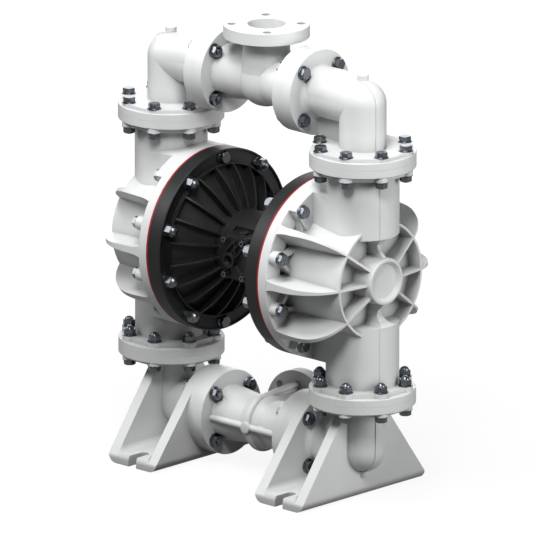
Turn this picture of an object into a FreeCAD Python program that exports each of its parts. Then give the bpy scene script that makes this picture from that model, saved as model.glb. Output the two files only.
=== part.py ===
import FreeCAD, Part
import math
import os

# Air operated double diaphragm pump, plastic, with three inch flanges, in millimetres.
# X runs from the left column to the right one, Y from the air inlet to the rear,
# Z up from the floor. The origin is on the floor below the middle of the pump.

V = FreeCAD.Vector
EPS = 1.0

# Axes and joint planes
COLUMN_X = 291.5
CHAMBER_Z = 501.5
JOINT_RISE = 268.0
MANIFOLD_OFFSET = 123.0
MANIFOLD_JOINT_X = 135.0
BRANCH_LENGTH = 125.0
LOWER_Z = CHAMBER_Z - JOINT_RISE
UPPER_Z = CHAMBER_Z + JOINT_RISE
INLET_Z = LOWER_Z - MANIFOLD_OFFSET
OUTLET_Z = UPPER_Z + MANIFOLD_OFFSET

# Flanges of the columns
FLANGE_R = 117.5
RIM_T = 17.5
ELBOW_PAD_T = 7.5
CHAMBER_PAD_T = 11.0
COLUMN_BOLT_R = 100.5
COLUMN_BOLTS = 8
COLUMN_R = 80.6
COLUMN_BORE_R = 68.0

# Flanges of the manifold and of the two ports, three inch class 150
PORT_FLANGE_R = 95.25
PORT_FLANGE_T = 27.0
PORT_BOLT_R = 76.2
PORT_BOLTS = 4
PORT_HOLE_R = 9.5
PORT_BORE_R = 42.0
PIPE_BORE_R = 41.0
PIPE_R = 52.0
PIPE_CROWN = 9.0
CROWN_X = 215.0
NECK_R = 14.0
SPOT_GAP = 1.3
BAND_HALF = 12.5
BAND_T = 2.0
TAB_R = 12.5
TAB_RISE = 12.0
TEE_CONE = 11.0
TEE_CONE_END = 26.0

# Fasteners, M16
SHANK_R = 8.0
HOLE_R = 8.75
HEX_AF = 24.0
HEX_H = 10.0
COLLAR_R = 16.0
COLLAR_T = 3.0
CLAMP_COLLAR_R = 14.5
NUT_H = 12.0
DOME_RISE = 9.0
THREAD_GAP = 0.1

# Diaphragm clamping
CLAMP_R = 204.7
CLAMP_BOLT_INSET = 17.5
CLAMP_BOLT_R = CLAMP_R - CLAMP_BOLT_INSET
CLAMP_BOLTS = 10
DIAPHRAGM_X = 168.0
EDGE_T = 4.0
COVER_FACE_X = DIAPHRAGM_X - EDGE_T / 2
CHAMBER_FACE_X = DIAPHRAGM_X + EDGE_T / 2

# Fluid chamber
CLAMP_FLANGE_T = 24.5
CLAMP_BACK_X = CHAMBER_FACE_X + CLAMP_FLANGE_T
GROOVE_RIM = 43.7
GROOVE_R = CLAMP_R - GROOVE_RIM
GROOVE_W = 18.0
GROOVE_DEPTH = 14.0
DRUM_R = GROOVE_R - GROOVE_W
DRUM_DRAFT = 11.5
CLAMP_MOUTH_R = DRUM_R - 3.0
RING_X = 346.0
RING_R = DRUM_R - DRUM_DRAFT
RING_T = 5.5
FLOOR_X = 313.0
CHAMBER_WALL = 13.0
HUB_R = 52.0
HUB_X = 365.0
HUB_RIM = 7.0
HUB_DISH = 9.0
RIB_T = 6.0
BLADE_ROOT = 15.0
BLADE_TIP = 2.5
BOSS_R = 16.5
BOSS_X = 214.0
BOSS_THREAD_X = 212.0
GUSSET_T = 9.5
GUSSET_SPREAD = 27.0
NECK_HALF = 72.0
STRIP_HALF = 26.0
STRIP_T = 1.0
COLUMN_END = 100.0
COLUMN_FLOOR = 12.0
BLADE_ANGLES = (-36, 0, 36, 144, 180, 216)

# Check valves
SEAT_R = 71.5
SEAT_T = 16.0
SEAT_BORE_R = 36.0
SEAT_LIP_R = 40.0
SEAT_FIT = 0.5
BALL_R = 45.0
BALL_GAP = 0.3
BALL_LIFT = 18.0
CAGE_H = 94.0
CAGE_RING_T = 8.0
CAGE_RING_R = 60.0
CAGE_FIN_T = 7.0
CAGE_FINS = 4
GUIDE_GAP = 1.0
LEDGE_R = 54.0
LEDGE_T = 14.5
SEAL_R = 2.5

# Air cover
LIP_X = 130.0
LIP_T = 4.2
POCKET_GAP = 0.8
LEDGE_X = 136.0
NUT_LEDGE = 12.6
INNER_RING_R = CLAMP_BOLT_R - NUT_LEDGE
INNER_RING_X = 127.5
INNER_RING_T = 5.0
COVER_STEP_X = 146.0
COVER_HUB_R = 81.0
COVER_HUB_X = 65.0
COVER_HUB_STEP = 20.0
COVER_WALL = 10.0
COVER_RIBS = 20
COVER_RIB_T = 4.5
COVER_RIB_BULGE = 7.5

# Centre section and rod
SPIGOT_R = 34.7
SPIGOT_X = 104.0
SPIGOT_FIT = 0.3
ROD_R = 16.0
ROD_FIT = 0.05
ROD_SHOULDER_X = 144.0
STUD_R = 10.0
STUD_X = 186.0
BUSH_T = 6.0
BUSH_IN_X = 62.0
SEAL_T = 5.0
SEAL_W = 8.0
AIR_PLATE_R = 98.0
AIR_PLATE_HUB_R = 36.0
AIR_PLATE_X = 152.0
AIR_PLATE_T = 12.0
MEMBRANE_T = 8.0
FLUID_PLATE_R = 94.0
FLUID_PLATE_H = 34.0
PIN_R = 5.0
PIN_Y = 50.0
PIN_TIP_X = 123.0
PIN_HEAD_R = 9.0
PIN_HEAD_T = 5.5
PIN_TAIL_X = 42.0
PIN_STROKE = 6.0
COVER_SCREW_R = 62.0
COVER_SCREWS = 6

# Air valve on the front of the centre section
VALVE_HALF_X = 38.5
VALVE_HALF_Z = 50.0
VALVE_SEAT_Y = -54.0
VALVE_FRONT_Y = VALVE_SEAT_Y - 38.0
VALVE_PLATE_T = 9.0
VALVE_SCREW_X = 27.5
VALVE_SCREW_Z = 39.5
VALVE_Z = CHAMBER_Z + 2.0
SPOOL_R = 13.0
SPOOL_FIT = 0.05
SPOOL_Y = (VALVE_SEAT_Y + VALVE_FRONT_Y) / 2
SPOOL_TRAVEL = 12.0
PLUG_R = 18.0
PLUG_T = 10.0
AIR_PORT_X = -12.5
AIR_PORT_DROP = 5.0
AIR_PORT_R = 17.7
AIR_THREAD_R = 12.1
AIR_PORT_LENGTH = 9.0

# Muffler at the rear
MUFFLER_R = 38.0
MUFFLER_LENGTH = 105.0
MUFFLER_NECK_R = 14.0
MUFFLER_Y = 84.0

# Feet
FOOT_OUT_X = 297.0
FOOT_IN_X = 151.0
FOOT_PLATE_T = 26.0
FOOT_BASE_T = 24.0
FOOT_HALF_Y = 194.0
FOOT_TOP_HALF_Y = 76.0
FOOT_TOE_Z = 17.0
FOOT_EDGE_R = 22.0
FOOT_INNER_R = 14.0
SLOT_W = 23.0
SLOT_DEPTH = 49.0


# Small building helpers

def cyl(radius, height, base, axis):
    return Part.makeCylinder(radius, height, base, axis)


def cyl_x(radius, x0, x1, y, z):
    return cyl(radius, x1 - x0, V(x0, y, z), V(1, 0, 0))


def cyl_y(radius, y0, y1, x, z):
    return cyl(radius, y1 - y0, V(x, y0, z), V(0, 1, 0))


def cyl_z(radius, z0, z1, x, y):
    return cyl(radius, z1 - z0, V(x, y, z0), V(0, 0, 1))


def cone_x(r0, r1, x0, x1, y, z):
    if x1 < x0:
        return Part.makeCone(r0, r1, x0 - x1, V(x0, y, z), V(-1, 0, 0))
    return Part.makeCone(r0, r1, x1 - x0, V(x0, y, z), V(1, 0, 0))


def box(x0, x1, y0, y1, z0, z1):
    return Part.makeBox(x1 - x0, y1 - y0, z1 - z0, V(x0, y0, z0))


def face_of(points):
    return Part.Face(Part.makePolygon(points + [points[0]]))


def prism_y(points, half, y=0.0):
    face = face_of([V(x, y - half, z) for x, z in points])
    return face.extrude(V(0, 2 * half, 0))


def prism_x(points, x0, x1):
    face = face_of([V(x0, y, z) for y, z in points])
    return face.extrude(V(x1 - x0, 0, 0))


def turned_x(points, z=CHAMBER_Z):
    """Solid turned about the X axis through the chamber centre from (x, radius) points."""
    face = face_of([V(x, 0, z + r) for x, r in points])
    return face.revolve(V(0, 0, z), V(1, 0, 0), 360)


def turned_z(points, x=0.0, y=0.0):
    """Solid turned about an upright axis from (radius, z) points."""
    face = face_of([V(x + r, y, z) for r, z in points])
    return face.revolve(V(x, y, 0), V(0, 0, 1), 360)


def spline_edge(points):
    curve = Part.BSplineCurve()
    curve.interpolate(points)
    return curve.toShape()


def joined(first, others):
    return first.fuse(others).removeSplitter()


def about_x(shape, angle, z=CHAMBER_Z):
    """Copy of a shape drawn toward the front, turned about the chamber axis."""
    copy = shape.copy()
    copy.rotate(V(0, 0, z), V(1, 0, 0), angle)
    return copy


def circle_x(radius, angle, x, z=CHAMBER_Z):
    """Point on a circle round the X axis, the angle counted from the front."""
    a = math.radians(angle)
    return V(x, -radius * math.cos(a), z - radius * math.sin(a))


def circle_z(radius, angle, z, x=0.0):
    a = math.radians(angle)
    return V(x + radius * math.cos(a), radius * math.sin(a), z)


def put(shape, base, axis):
    """Copy of a shape drawn along +Z, set at a point and turned to an axis."""
    copy = shape.copy()
    turn = FreeCAD.Rotation(V(0, 0, 1), axis)
    copy.Placement = FreeCAD.Placement(base, turn)
    return copy


def sided(shape, side):
    if side > 0:
        return shape
    return shape.mirror(V(0, 0, 0), V(1, 0, 0))


def clamp_angles():
    step = 360.0 / CLAMP_BOLTS
    return [step * (k + 0.5) for k in range(CLAMP_BOLTS)]


def column_angles():
    step = 360.0 / COLUMN_BOLTS
    return [step * (k + 0.5) for k in range(COLUMN_BOLTS)]


def port_angles():
    step = 360.0 / PORT_BOLTS
    return [step * (k + 0.5) for k in range(PORT_BOLTS)]


def is_upright(angle):
    """True for the two clamp bolts that stand right above and below the axis."""
    return abs(math.cos(math.radians(angle))) < 0.1


# Fasteners

def hexagon(height, z0):
    corner = HEX_AF / math.sqrt(3)
    points = [circle_z(corner, 60 * k + 30, z0) for k in range(6)]
    prism = face_of(points).extrude(V(0, 0, height))
    return prism


def hex_head(height, z0, upper):
    """Hexagon with its outer corners turned off."""
    corner = HEX_AF / math.sqrt(3)
    cut = corner - HEX_AF / 2
    if upper:
        shape = turned_z([(0, z0), (corner + 0.1, z0), (corner + 0.1, z0 + height - cut),
                          (HEX_AF / 2 - 0.4, z0 + height), (0, z0 + height)])
    else:
        shape = turned_z([(0, z0), (HEX_AF / 2 - 0.4, z0), (corner + 0.1, z0 + cut),
                          (corner + 0.1, z0 + height), (0, z0 + height)])
    return hexagon(height, z0).common(shape)


def bolt(grip, beyond, collar_r=COLLAR_R):
    """Flanged hexagon bolt with its bearing face at z 0 and its shank along +Z."""
    collar = turned_z([(0, 0), (collar_r, 0), (collar_r, -COLLAR_T * 0.4),
                       (HEX_AF / 2, -COLLAR_T), (0, -COLLAR_T)])
    head = hex_head(HEX_H, -COLLAR_T - HEX_H, False)
    length = grip + beyond
    shank = turned_z([(0, 0), (SHANK_R, 0), (SHANK_R, length - 1.5),
                      (SHANK_R - 1.5, length), (0, length)])
    return joined(collar, [head, shank])


def flange_nut():
    """Flanged nut with its bearing face at z 0, open at the top."""
    collar = turned_z([(0, 0), (COLLAR_R, 0), (COLLAR_R, COLLAR_T * 0.4),
                       (HEX_AF / 2, COLLAR_T), (0, COLLAR_T)])
    body = joined(collar, [hex_head(NUT_H, COLLAR_T, True)])
    bore = cyl_z(SHANK_R + THREAD_GAP, -EPS, COLLAR_T + NUT_H + EPS, 0, 0)
    return body.cut(bore)


def acorn_nut(collar_r, rise):
    """Domed nut on its washer face, with a blind thread."""
    collar = turned_z([(0, 0), (collar_r, 0), (collar_r, COLLAR_T * 0.8),
                       (HEX_AF / 2, COLLAR_T), (0, COLLAR_T)])
    hex_part = hex_head(NUT_H + rise, COLLAR_T, True)
    top = COLLAR_T + NUT_H + rise
    dome = Part.makeSphere(HEX_AF / 2 - 1.5, V(0, 0, top - 2.5))
    dome = dome.common(cyl_z(HEX_AF, top - 3, top + HEX_AF, 0, 0))
    body = joined(collar, [hex_part, dome])
    return body.cut(cyl_z(SHANK_R + THREAD_GAP, -EPS, top + 2.0, 0, 0))


def cap_screw(radius, head_r, head_h, length, socket_r):
    head = cyl_z(head_r, -head_h, 0, 0, 0).cut(cyl_z(socket_r, -head_h - EPS, -head_h * 0.5, 0, 0))
    return joined(head, [cyl_z(radius, 0, length, 0, 0)])


# White castings

def column_flange(z, up, pad_t, pads):
    """Flange round the column axis from its joint face at z, its raised face turned to up."""
    z_rim = z + up * RIM_T
    z_pad = z_rim + up * pad_t
    disc = cyl_z(FLANGE_R, min(z, z_rim), max(z, z_rim), COLUMN_X, 0)
    disc = disc.makeFillet(1.5, [e for e in disc.Edges if e.Closed
                                 and abs(e.BoundBox.Center.z - z_rim) < 0.1])
    corner = FLANGE_R - (7.0 if pads else 1.5)
    points = [circle_z(corner, a, z_rim, COLUMN_X) for a in column_angles()]
    plateau = face_of(points).extrude(V(0, 0, up * pad_t))
    corners = [e for e in plateau.Edges if abs(e.BoundBox.ZLength - pad_t) < 0.1]
    plateau = plateau.makeFillet(14.0, corners)
    pieces = [plateau]
    if pads:
        for a in column_angles():
            p = circle_z(COLUMN_BOLT_R, a, 0, COLUMN_X)
            pieces.append(cyl_z(COLLAR_R, min(z_rim, z_pad), max(z_rim, z_pad), p.x, p.y))
    return joined(disc, pieces)


def column_holes(z, up, pad_t):
    z1 = z + up * (RIM_T + pad_t + EPS)
    z0 = z - up * EPS
    holes = []
    for a in column_angles():
        p = circle_z(COLUMN_BOLT_R, a, 0, COLUMN_X)
        holes.append(cyl_z(HOLE_R, min(z0, z1), max(z0, z1), p.x, p.y))
    return holes


def port_holes_x(x0, x1, z, radius):
    holes = []
    for a in port_angles():
        p = circle_x(PORT_BOLT_R, a, x0, z)
        holes.append(cyl_x(radius, x0, x1, p.y, p.z))
    return holes


def neck_x(radius, x0, toward, z):
    """Hollow cornered fillet ring between a flange face at x0 and a pipe along X."""
    a = V(x0, 0, z + radius - 3)
    b = V(x0, 0, z + radius + NECK_R)
    c = V(x0 + toward * NECK_R, 0, z + radius)
    d = V(x0 + toward * NECK_R, 0, z + radius - 3)
    k = NECK_R * (1 - math.sqrt(0.5))
    mid = V(x0 + toward * k, 0, z + radius + k)
    wire = Part.Wire([Part.makeLine(a, b), Part.Arc(b, mid, c).toShape(), Part.makeLine(c, d),
                      Part.makeLine(d, a)])
    return Part.Face(wire).revolve(V(0, 0, z), V(1, 0, 0), 360)


def elbow_band(joint_z, axis_z):
    """Flat band that runs round the outside of the bend, from the tab to the flange."""
    outer = Part.makeSphere(PIPE_R + BAND_T, V(COLUMN_X, 0, axis_z))
    outer = outer.fuse(cyl_z(PIPE_R + BAND_T, min(joint_z, axis_z), max(joint_z, axis_z), COLUMN_X, 0))
    reach = PIPE_R + BAND_T + EPS
    slab = box(COLUMN_X, COLUMN_X + reach, -BAND_HALF, BAND_HALF,
               min(joint_z, axis_z) - reach, max(joint_z, axis_z) + reach)
    if joint_z < axis_z:
        keep = box(COLUMN_X - reach, COLUMN_X + reach, -reach, reach, joint_z, axis_z + reach)
    else:
        keep = box(COLUMN_X - reach, COLUMN_X + reach, -reach, reach, axis_z - reach, joint_z)
    return outer.common(slab).common(keep)


def pipe_elbow(joint_z, up):
    """Elbow body without its bores: leg, ball corner, crowned arm, band and tab."""
    axis_z = joint_z + up * MANIFOLD_OFFSET
    flange_x = MANIFOLD_JOINT_X + PORT_FLANGE_T
    centre = V(COLUMN_X, 0, axis_z)
    leg = cyl_z(PIPE_R, min(joint_z, axis_z), max(joint_z, axis_z), COLUMN_X, 0)
    arm = cyl_x(PIPE_R, flange_x - 2, COLUMN_X, 0, axis_z)
    crest = V(CROWN_X, 0, axis_z + up * PIPE_CROWN)
    level = cyl_x(PIPE_R, flange_x - 2, CROWN_X, 0, crest.z)
    slope = cyl(PIPE_R, (centre - crest).Length, crest, centre - crest)
    pieces = [arm, level, slope, Part.makeSphere(PIPE_R, crest), Part.makeSphere(PIPE_R, centre),
              cyl_x(PORT_FLANGE_R, MANIFOLD_JOINT_X, flange_x, 0, axis_z),
              neck_x(PIPE_R, flange_x, 1, axis_z), elbow_band(joint_z, axis_z)]
    tab_z = axis_z + up * (PIPE_R + TAB_RISE)
    low_z = axis_z + up * (PIPE_R - 6)
    pieces.append(cyl_z(TAB_R, min(low_z, tab_z), max(low_z, tab_z), COLUMN_X, 0))
    return joined(leg, pieces)


def spot_faces_x(x0, toward, z, length):
    """Round pockets that let the manifold fasteners seat flat beside the pipe."""
    x1 = x0 + toward * length
    return port_holes_x(min(x0, x1), max(x0, x1), z, COLLAR_R + SPOT_GAP)


def elbow_bores(joint_z, up):
    axis_z = joint_z + up * MANIFOLD_OFFSET
    z0 = joint_z - up * EPS
    upright = cyl_z(PIPE_BORE_R, min(z0, axis_z), max(z0, axis_z), COLUMN_X, 0)
    across = cyl_x(PIPE_BORE_R, MANIFOLD_JOINT_X - EPS, COLUMN_X, 0, axis_z)
    ball = Part.makeSphere(PIPE_BORE_R, V(COLUMN_X, 0, axis_z))
    return [upright, across, ball]


def discharge_elbow(side):
    axis_z = OUTLET_Z
    top_z = UPPER_Z + RIM_T + ELBOW_PAD_T
    flange_x = MANIFOLD_JOINT_X + PORT_FLANGE_T
    web = prism_y([(flange_x - 1, axis_z - PORT_FLANGE_R + 6), (COLUMN_X - FLANGE_R + 8, top_z - 1),
                   (COLUMN_X - PIPE_R + 8, top_z - 1), (COLUMN_X - PIPE_R + 8, axis_z - 30),
                   (flange_x - 1, axis_z - 30)], 7.0)
    body = joined(pipe_elbow(UPPER_Z, 1), [column_flange(UPPER_Z, 1, ELBOW_PAD_T, False), web])
    cuts = elbow_bores(UPPER_Z, 1) + column_holes(UPPER_Z, 1, ELBOW_PAD_T)
    cuts += port_holes_x(MANIFOLD_JOINT_X - EPS, flange_x + EPS, axis_z, HOLE_R)
    cuts += spot_faces_x(flange_x, 1, axis_z, HEX_H + COLLAR_T + NECK_R)
    return sided(body.cut(cuts), side)


def foot_body():
    """Channel shaped foot: two sloped side plates on a base plate, open at both ends."""
    top = LOWER_Z - RIM_T - 1.0
    outer = box(FOOT_IN_X, FOOT_OUT_X, -FOOT_HALF_Y, FOOT_HALF_Y, 0, top)
    long_edges = [e for e in outer.Edges if abs(e.BoundBox.YLength - 2 * FOOT_HALF_Y) < 0.1
                  and e.BoundBox.ZMax < 0.1]
    outer = outer.makeFillet(FOOT_EDGE_R, long_edges)
    inner = box(FOOT_IN_X + FOOT_PLATE_T, FOOT_OUT_X - FOOT_PLATE_T, -FOOT_HALF_Y - EPS,
                FOOT_HALF_Y + EPS, FOOT_BASE_T, top + EPS)
    inner_edges = [e for e in inner.Edges if e.BoundBox.YLength > 2 * FOOT_HALF_Y
                   and e.BoundBox.ZMax < FOOT_BASE_T + 0.1]
    inner = inner.makeFillet(FOOT_INNER_R, inner_edges)
    outline = prism_x([(-FOOT_HALF_Y, -EPS), (FOOT_HALF_Y, -EPS), (FOOT_HALF_Y, FOOT_TOE_Z),
                       (FOOT_TOP_HALF_Y, top), (-FOOT_TOP_HALF_Y, top),
                       (-FOOT_HALF_Y, FOOT_TOE_Z)], FOOT_IN_X - EPS, FOOT_OUT_X + EPS)
    toes = [e for e in outline.Edges if e.BoundBox.XLength > FOOT_PLATE_T
            and abs(e.BoundBox.Center.z - FOOT_TOE_Z) < 0.1]
    outline = outline.makeFillet(18.0, toes)
    return outer.cut(inner).common(outline)


def foot_slots():
    """Open anchor slots at both ends of the base plate."""
    mid = (FOOT_IN_X + FOOT_OUT_X) / 2
    cuts = []
    for s in (-1, 1):
        end = s * (FOOT_HALF_Y + EPS)
        root = s * (FOOT_HALF_Y - SLOT_DEPTH + SLOT_W / 2)
        cuts.append(box(mid - SLOT_W / 2, mid + SLOT_W / 2, min(end, root), max(end, root),
                        -EPS, FOOT_BASE_T + EPS))
        cuts.append(cyl_z(SLOT_W / 2, -EPS, FOOT_BASE_T + EPS, mid, root))
    return cuts


def foot_elbow(side):
    plate_back = FOOT_IN_X + FOOT_PLATE_T
    body = joined(pipe_elbow(LOWER_Z, -1), [column_flange(LOWER_Z, -1, ELBOW_PAD_T, True),
                                            foot_body(), neck_x(PIPE_R, plate_back, 1, INLET_Z)])
    cuts = elbow_bores(LOWER_Z, -1) + foot_slots()
    cuts += column_holes(LOWER_Z, -1, ELBOW_PAD_T)
    for a in column_angles():
        p = circle_z(COLUMN_BOLT_R, a, 0, COLUMN_X)
        z1 = LOWER_Z - RIM_T - ELBOW_PAD_T
        cuts.append(cyl_z(COLLAR_R + 1.5, z1 - 24, z1, p.x, p.y))
    cuts += port_holes_x(MANIFOLD_JOINT_X - EPS, plate_back + EPS, INLET_Z, HOLE_R)
    cuts += spot_faces_x(plate_back, 1, INLET_Z, HEX_H + COLLAR_T + NECK_R)
    return sided(body.cut(cuts), side)


def tee_body(axis_z, branch_axis):
    """Run between the two elbows, belly in the middle and a branch with a port flange."""
    run = cyl_x(PIPE_R + 1, -MANIFOLD_JOINT_X, MANIFOLD_JOINT_X, 0, axis_z)
    pieces = []
    back_x = MANIFOLD_JOINT_X - PORT_FLANGE_T
    for s in (-1, 1):
        x0 = min(s * back_x, s * MANIFOLD_JOINT_X)
        x1 = max(s * back_x, s * MANIFOLD_JOINT_X)
        pieces.append(cyl_x(PORT_FLANGE_R, x0, x1, 0, axis_z))
        pieces.append(cone_x(PIPE_R + TEE_CONE, PIPE_R + 1, s * back_x, s * TEE_CONE_END, 0, axis_z))
    centre = V(0, 0, axis_z)
    belly = Part.makeSphere(PIPE_R + 9, centre)
    face_at = centre + branch_axis * BRANCH_LENGTH
    branch = cyl(PIPE_R, BRANCH_LENGTH, centre, branch_axis)
    saddle = Part.makeCone(PIPE_R + 8, PIPE_R, BRANCH_LENGTH * 0.55, centre, branch_axis)
    flange = cyl(PORT_FLANGE_R, PORT_FLANGE_T, face_at, branch_axis * -1)
    return joined(run, pieces + [belly, branch, saddle, flange])


def tee_cuts(axis_z, branch_axis):
    centre = V(0, 0, axis_z)
    cuts = [cyl_x(PIPE_BORE_R, -MANIFOLD_JOINT_X - EPS, MANIFOLD_JOINT_X + EPS, 0, axis_z),
            cyl(PORT_BORE_R, BRANCH_LENGTH + EPS, centre, branch_axis)]
    back_x = MANIFOLD_JOINT_X - PORT_FLANGE_T
    cuts += port_holes_x(back_x - EPS, MANIFOLD_JOINT_X + EPS, axis_z, HOLE_R)
    cuts += port_holes_x(-MANIFOLD_JOINT_X - EPS, -back_x + EPS, axis_z, HOLE_R)
    across = branch_axis.cross(V(1, 0, 0))
    start = centre + branch_axis * (BRANCH_LENGTH - PORT_FLANGE_T - EPS)
    for a in port_angles():
        r = math.radians(a)
        offset = V(1, 0, 0) * (PORT_BOLT_R * math.cos(r)) + across * (PORT_BOLT_R * math.sin(r))
        cuts.append(cyl(PORT_HOLE_R, PORT_FLANGE_T + 2 * EPS, start + offset, branch_axis))
    for s in (-1, 1):
        cuts.append(manifold_groove(s * MANIFOLD_JOINT_X, -s, axis_z))
        cuts += spot_faces_x(s * back_x, -s, axis_z, COLLAR_T + NUT_H + NECK_R)
    return cuts


def discharge_tee():
    up = V(0, 0, 1)
    return tee_body(OUTLET_Z, up).cut(tee_cuts(OUTLET_Z, up))


def inlet_tee():
    """Inlet tee with its half round stiffening beads along the front and over the top."""
    back = V(0, 1, 0)
    bead_r = 7.0
    run_x = MANIFOLD_JOINT_X - PORT_FLANGE_T + 1
    front = -(PIPE_R + 2)
    beads = [cyl_x(bead_r, -run_x, run_x, front, INLET_Z),
             cyl_y(12.0, front - 12.0, front + 10, 0, INLET_Z),
             Part.makeTorus(PIPE_R + 8, bead_r, V(0, 0, INLET_Z), V(1, 0, 0)),
             cyl_y(bead_r, 0, BRANCH_LENGTH - PORT_FLANGE_T + 1, 0, INLET_Z + PIPE_R + 3)]
    return joined(tee_body(INLET_Z, back), beads).cut(tee_cuts(INLET_Z, back))


def manifold_groove(x, inward, axis_z):
    """Groove in a tee flange face for the manifold seal."""
    depth = 2 * SEAL_R
    x1 = x + inward * depth
    outer = cyl_x(PIPE_BORE_R + 10, min(x, x1), max(x, x1), 0, axis_z)
    return outer.cut(cyl_x(PIPE_BORE_R + 4, min(x, x1), max(x, x1), 0, axis_z))


def manifold_seal(side, axis_z):
    radius = PIPE_BORE_R + 7
    x = side * (MANIFOLD_JOINT_X - SEAL_R)
    return Part.makeTorus(radius, SEAL_R, V(x, 0, axis_z), V(1, 0, 0))


def manifold_seals():
    return Part.makeCompound([manifold_seal(side, z) for side in (1, -1)
                              for z in (INLET_Z, OUTLET_Z)])


def blade(angle):
    """Bulging outer rib of the chamber: level with the flange, then rounded down to the ring."""
    root_x = CLAMP_BACK_X - 4
    drops = [(0, 1.2), (40, 0.2), (70, 1.0), (97, 6.5), (118, 17.5), (136, 34.0), (149, 54.5)]
    outline = [(root_x + dx, CLAMP_R - drop) for dx, drop in drops] + [(RING_X, RING_R - 1)]
    curve = spline_edge([V(x, -r, CHAMBER_Z) for x, r in outline])
    start = V(outline[0][0], -outline[0][1], CHAMBER_Z)
    end = V(outline[-1][0], -outline[-1][1], CHAMBER_Z)
    low = V(start.x, -DRUM_R + 10, CHAMBER_Z)
    inner = V(end.x, -RING_R + 3.5, CHAMBER_Z)
    wire = Part.Wire([curve, Part.makeLine(end, inner), Part.makeLine(inner, low),
                      Part.makeLine(low, start)])
    plate = Part.Face(wire)
    plate.translate(V(0, 0, -BLADE_ROOT))
    plate = plate.extrude(V(0, 0, 2 * BLADE_ROOT))
    widths = [(root_x, BLADE_ROOT - 1), (root_x + 14, 9.8), (root_x + 44, 8.0), (root_x + 84, 6.0),
              (root_x + 120, 4.2), (RING_X + EPS, BLADE_TIP)]
    out = -CLAMP_R - 2 * BLADE_ROOT
    upper = [V(x, out, CHAMBER_Z + w) for x, w in widths]
    lower = [V(x, out, CHAMBER_Z - w) for x, w in reversed(widths)]
    wedge = Part.Face(Part.Wire([spline_edge(upper), Part.makeLine(upper[-1], lower[0]),
                                 spline_edge(lower), Part.makeLine(lower[-1], upper[0])]))
    wedge = wedge.extrude(V(0, -out, 0))
    return about_x(plate.common(wedge), angle)


def inner_rib(angle):
    """Radial rib in the recessed end of the chamber, from the hub to the ring."""
    points = [(FLOOR_X - EPS, HUB_R - 6), (HUB_X - 6, HUB_R - 6), (HUB_X - 9, HUB_R + 4),
              (RING_X, RING_R - 2), (FLOOR_X - EPS, RING_R - 2)]
    face = face_of([V(x, -r, CHAMBER_Z - RIB_T / 2) for x, r in points])
    return about_x(face.extrude(V(0, 0, RIB_T)), angle)


def spine(up):
    """Flared ridge that runs from the flat end of the column into the hub."""
    top_x = COLUMN_X + COLUMN_R
    points = [(FLOOR_X - EPS, HUB_R - 8), (HUB_X - 6, HUB_R - 8), (HUB_X - 9, HUB_R + 3),
              (HUB_X - 22, HUB_R + 16), (HUB_X - 23, HUB_R + 28), (HUB_X - 12, COLUMN_END - 9),
              (top_x, COLUMN_END + EPS), (FLOOR_X - EPS, COLUMN_END + EPS)]
    side = face_of([V(x, -25, CHAMBER_Z + up * r) for x, r in points]).extrude(V(0, 50, 0))
    plan = [(HUB_R - 8, 4.0), (HUB_R + 12, 4.5), (HUB_R + 30, 8.0), (COLUMN_END - 7, 13.0),
            (COLUMN_END + EPS, 20.0)]
    right = [V(FLOOR_X - 5, w, CHAMBER_Z + up * r) for r, w in plan]
    left = [V(FLOOR_X - 5, -w, CHAMBER_Z + up * r) for r, w in reversed(plan)]
    wedge = face_of(right + left).extrude(V(120, 0, 0))
    return side.common(wedge)


def clamp_boss(angle):
    """Boss for a clamp bolt with its two gussets that run to the drum."""
    z = CHAMBER_Z
    low_x = CLAMP_BACK_X - GROOVE_DEPTH - 1
    boss = cyl_x(BOSS_R, low_x, BOSS_X, -CLAMP_BOLT_R, z)
    pieces = []
    for s in (-1, 1):
        length = CLAMP_BOLT_R - DRUM_R + 14
        points = [(low_x, -CLAMP_BOLT_R), (BOSS_X - 3, -CLAMP_BOLT_R),
                  (BOSS_X - 7, -CLAMP_BOLT_R + length), (low_x, -CLAMP_BOLT_R + length)]
        gusset = face_of([V(x, y, z - GUSSET_T / 2) for x, y in points])
        gusset = gusset.extrude(V(0, 0, GUSSET_T))
        gusset.rotate(V(0, -CLAMP_BOLT_R, z), V(1, 0, 0), s * GUSSET_SPREAD)
        pieces.append(gusset)
    return about_x(joined(boss, pieces), angle)


def column_web():
    """Mass between the clamp flange and the columns, with the same outer round as the flange."""
    low_x = CLAMP_BACK_X - GROOVE_DEPTH - 1
    end_x = COLUMN_X - 8
    end_y = math.sqrt(COLUMN_R ** 2 - (COLUMN_X - end_x) ** 2)
    plan = [V(low_x, -NECK_HALF, CHAMBER_Z - CLAMP_R), V(end_x, -end_y, CHAMBER_Z - CLAMP_R),
            V(end_x, end_y, CHAMBER_Z - CLAMP_R), V(low_x, NECK_HALF, CHAMBER_Z - CLAMP_R)]
    web = face_of(plan).extrude(V(0, 0, 2 * CLAMP_R))
    return web.common(cyl_x(CLAMP_R - 0.5, low_x, end_x + EPS, 0, CHAMBER_Z))


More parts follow.
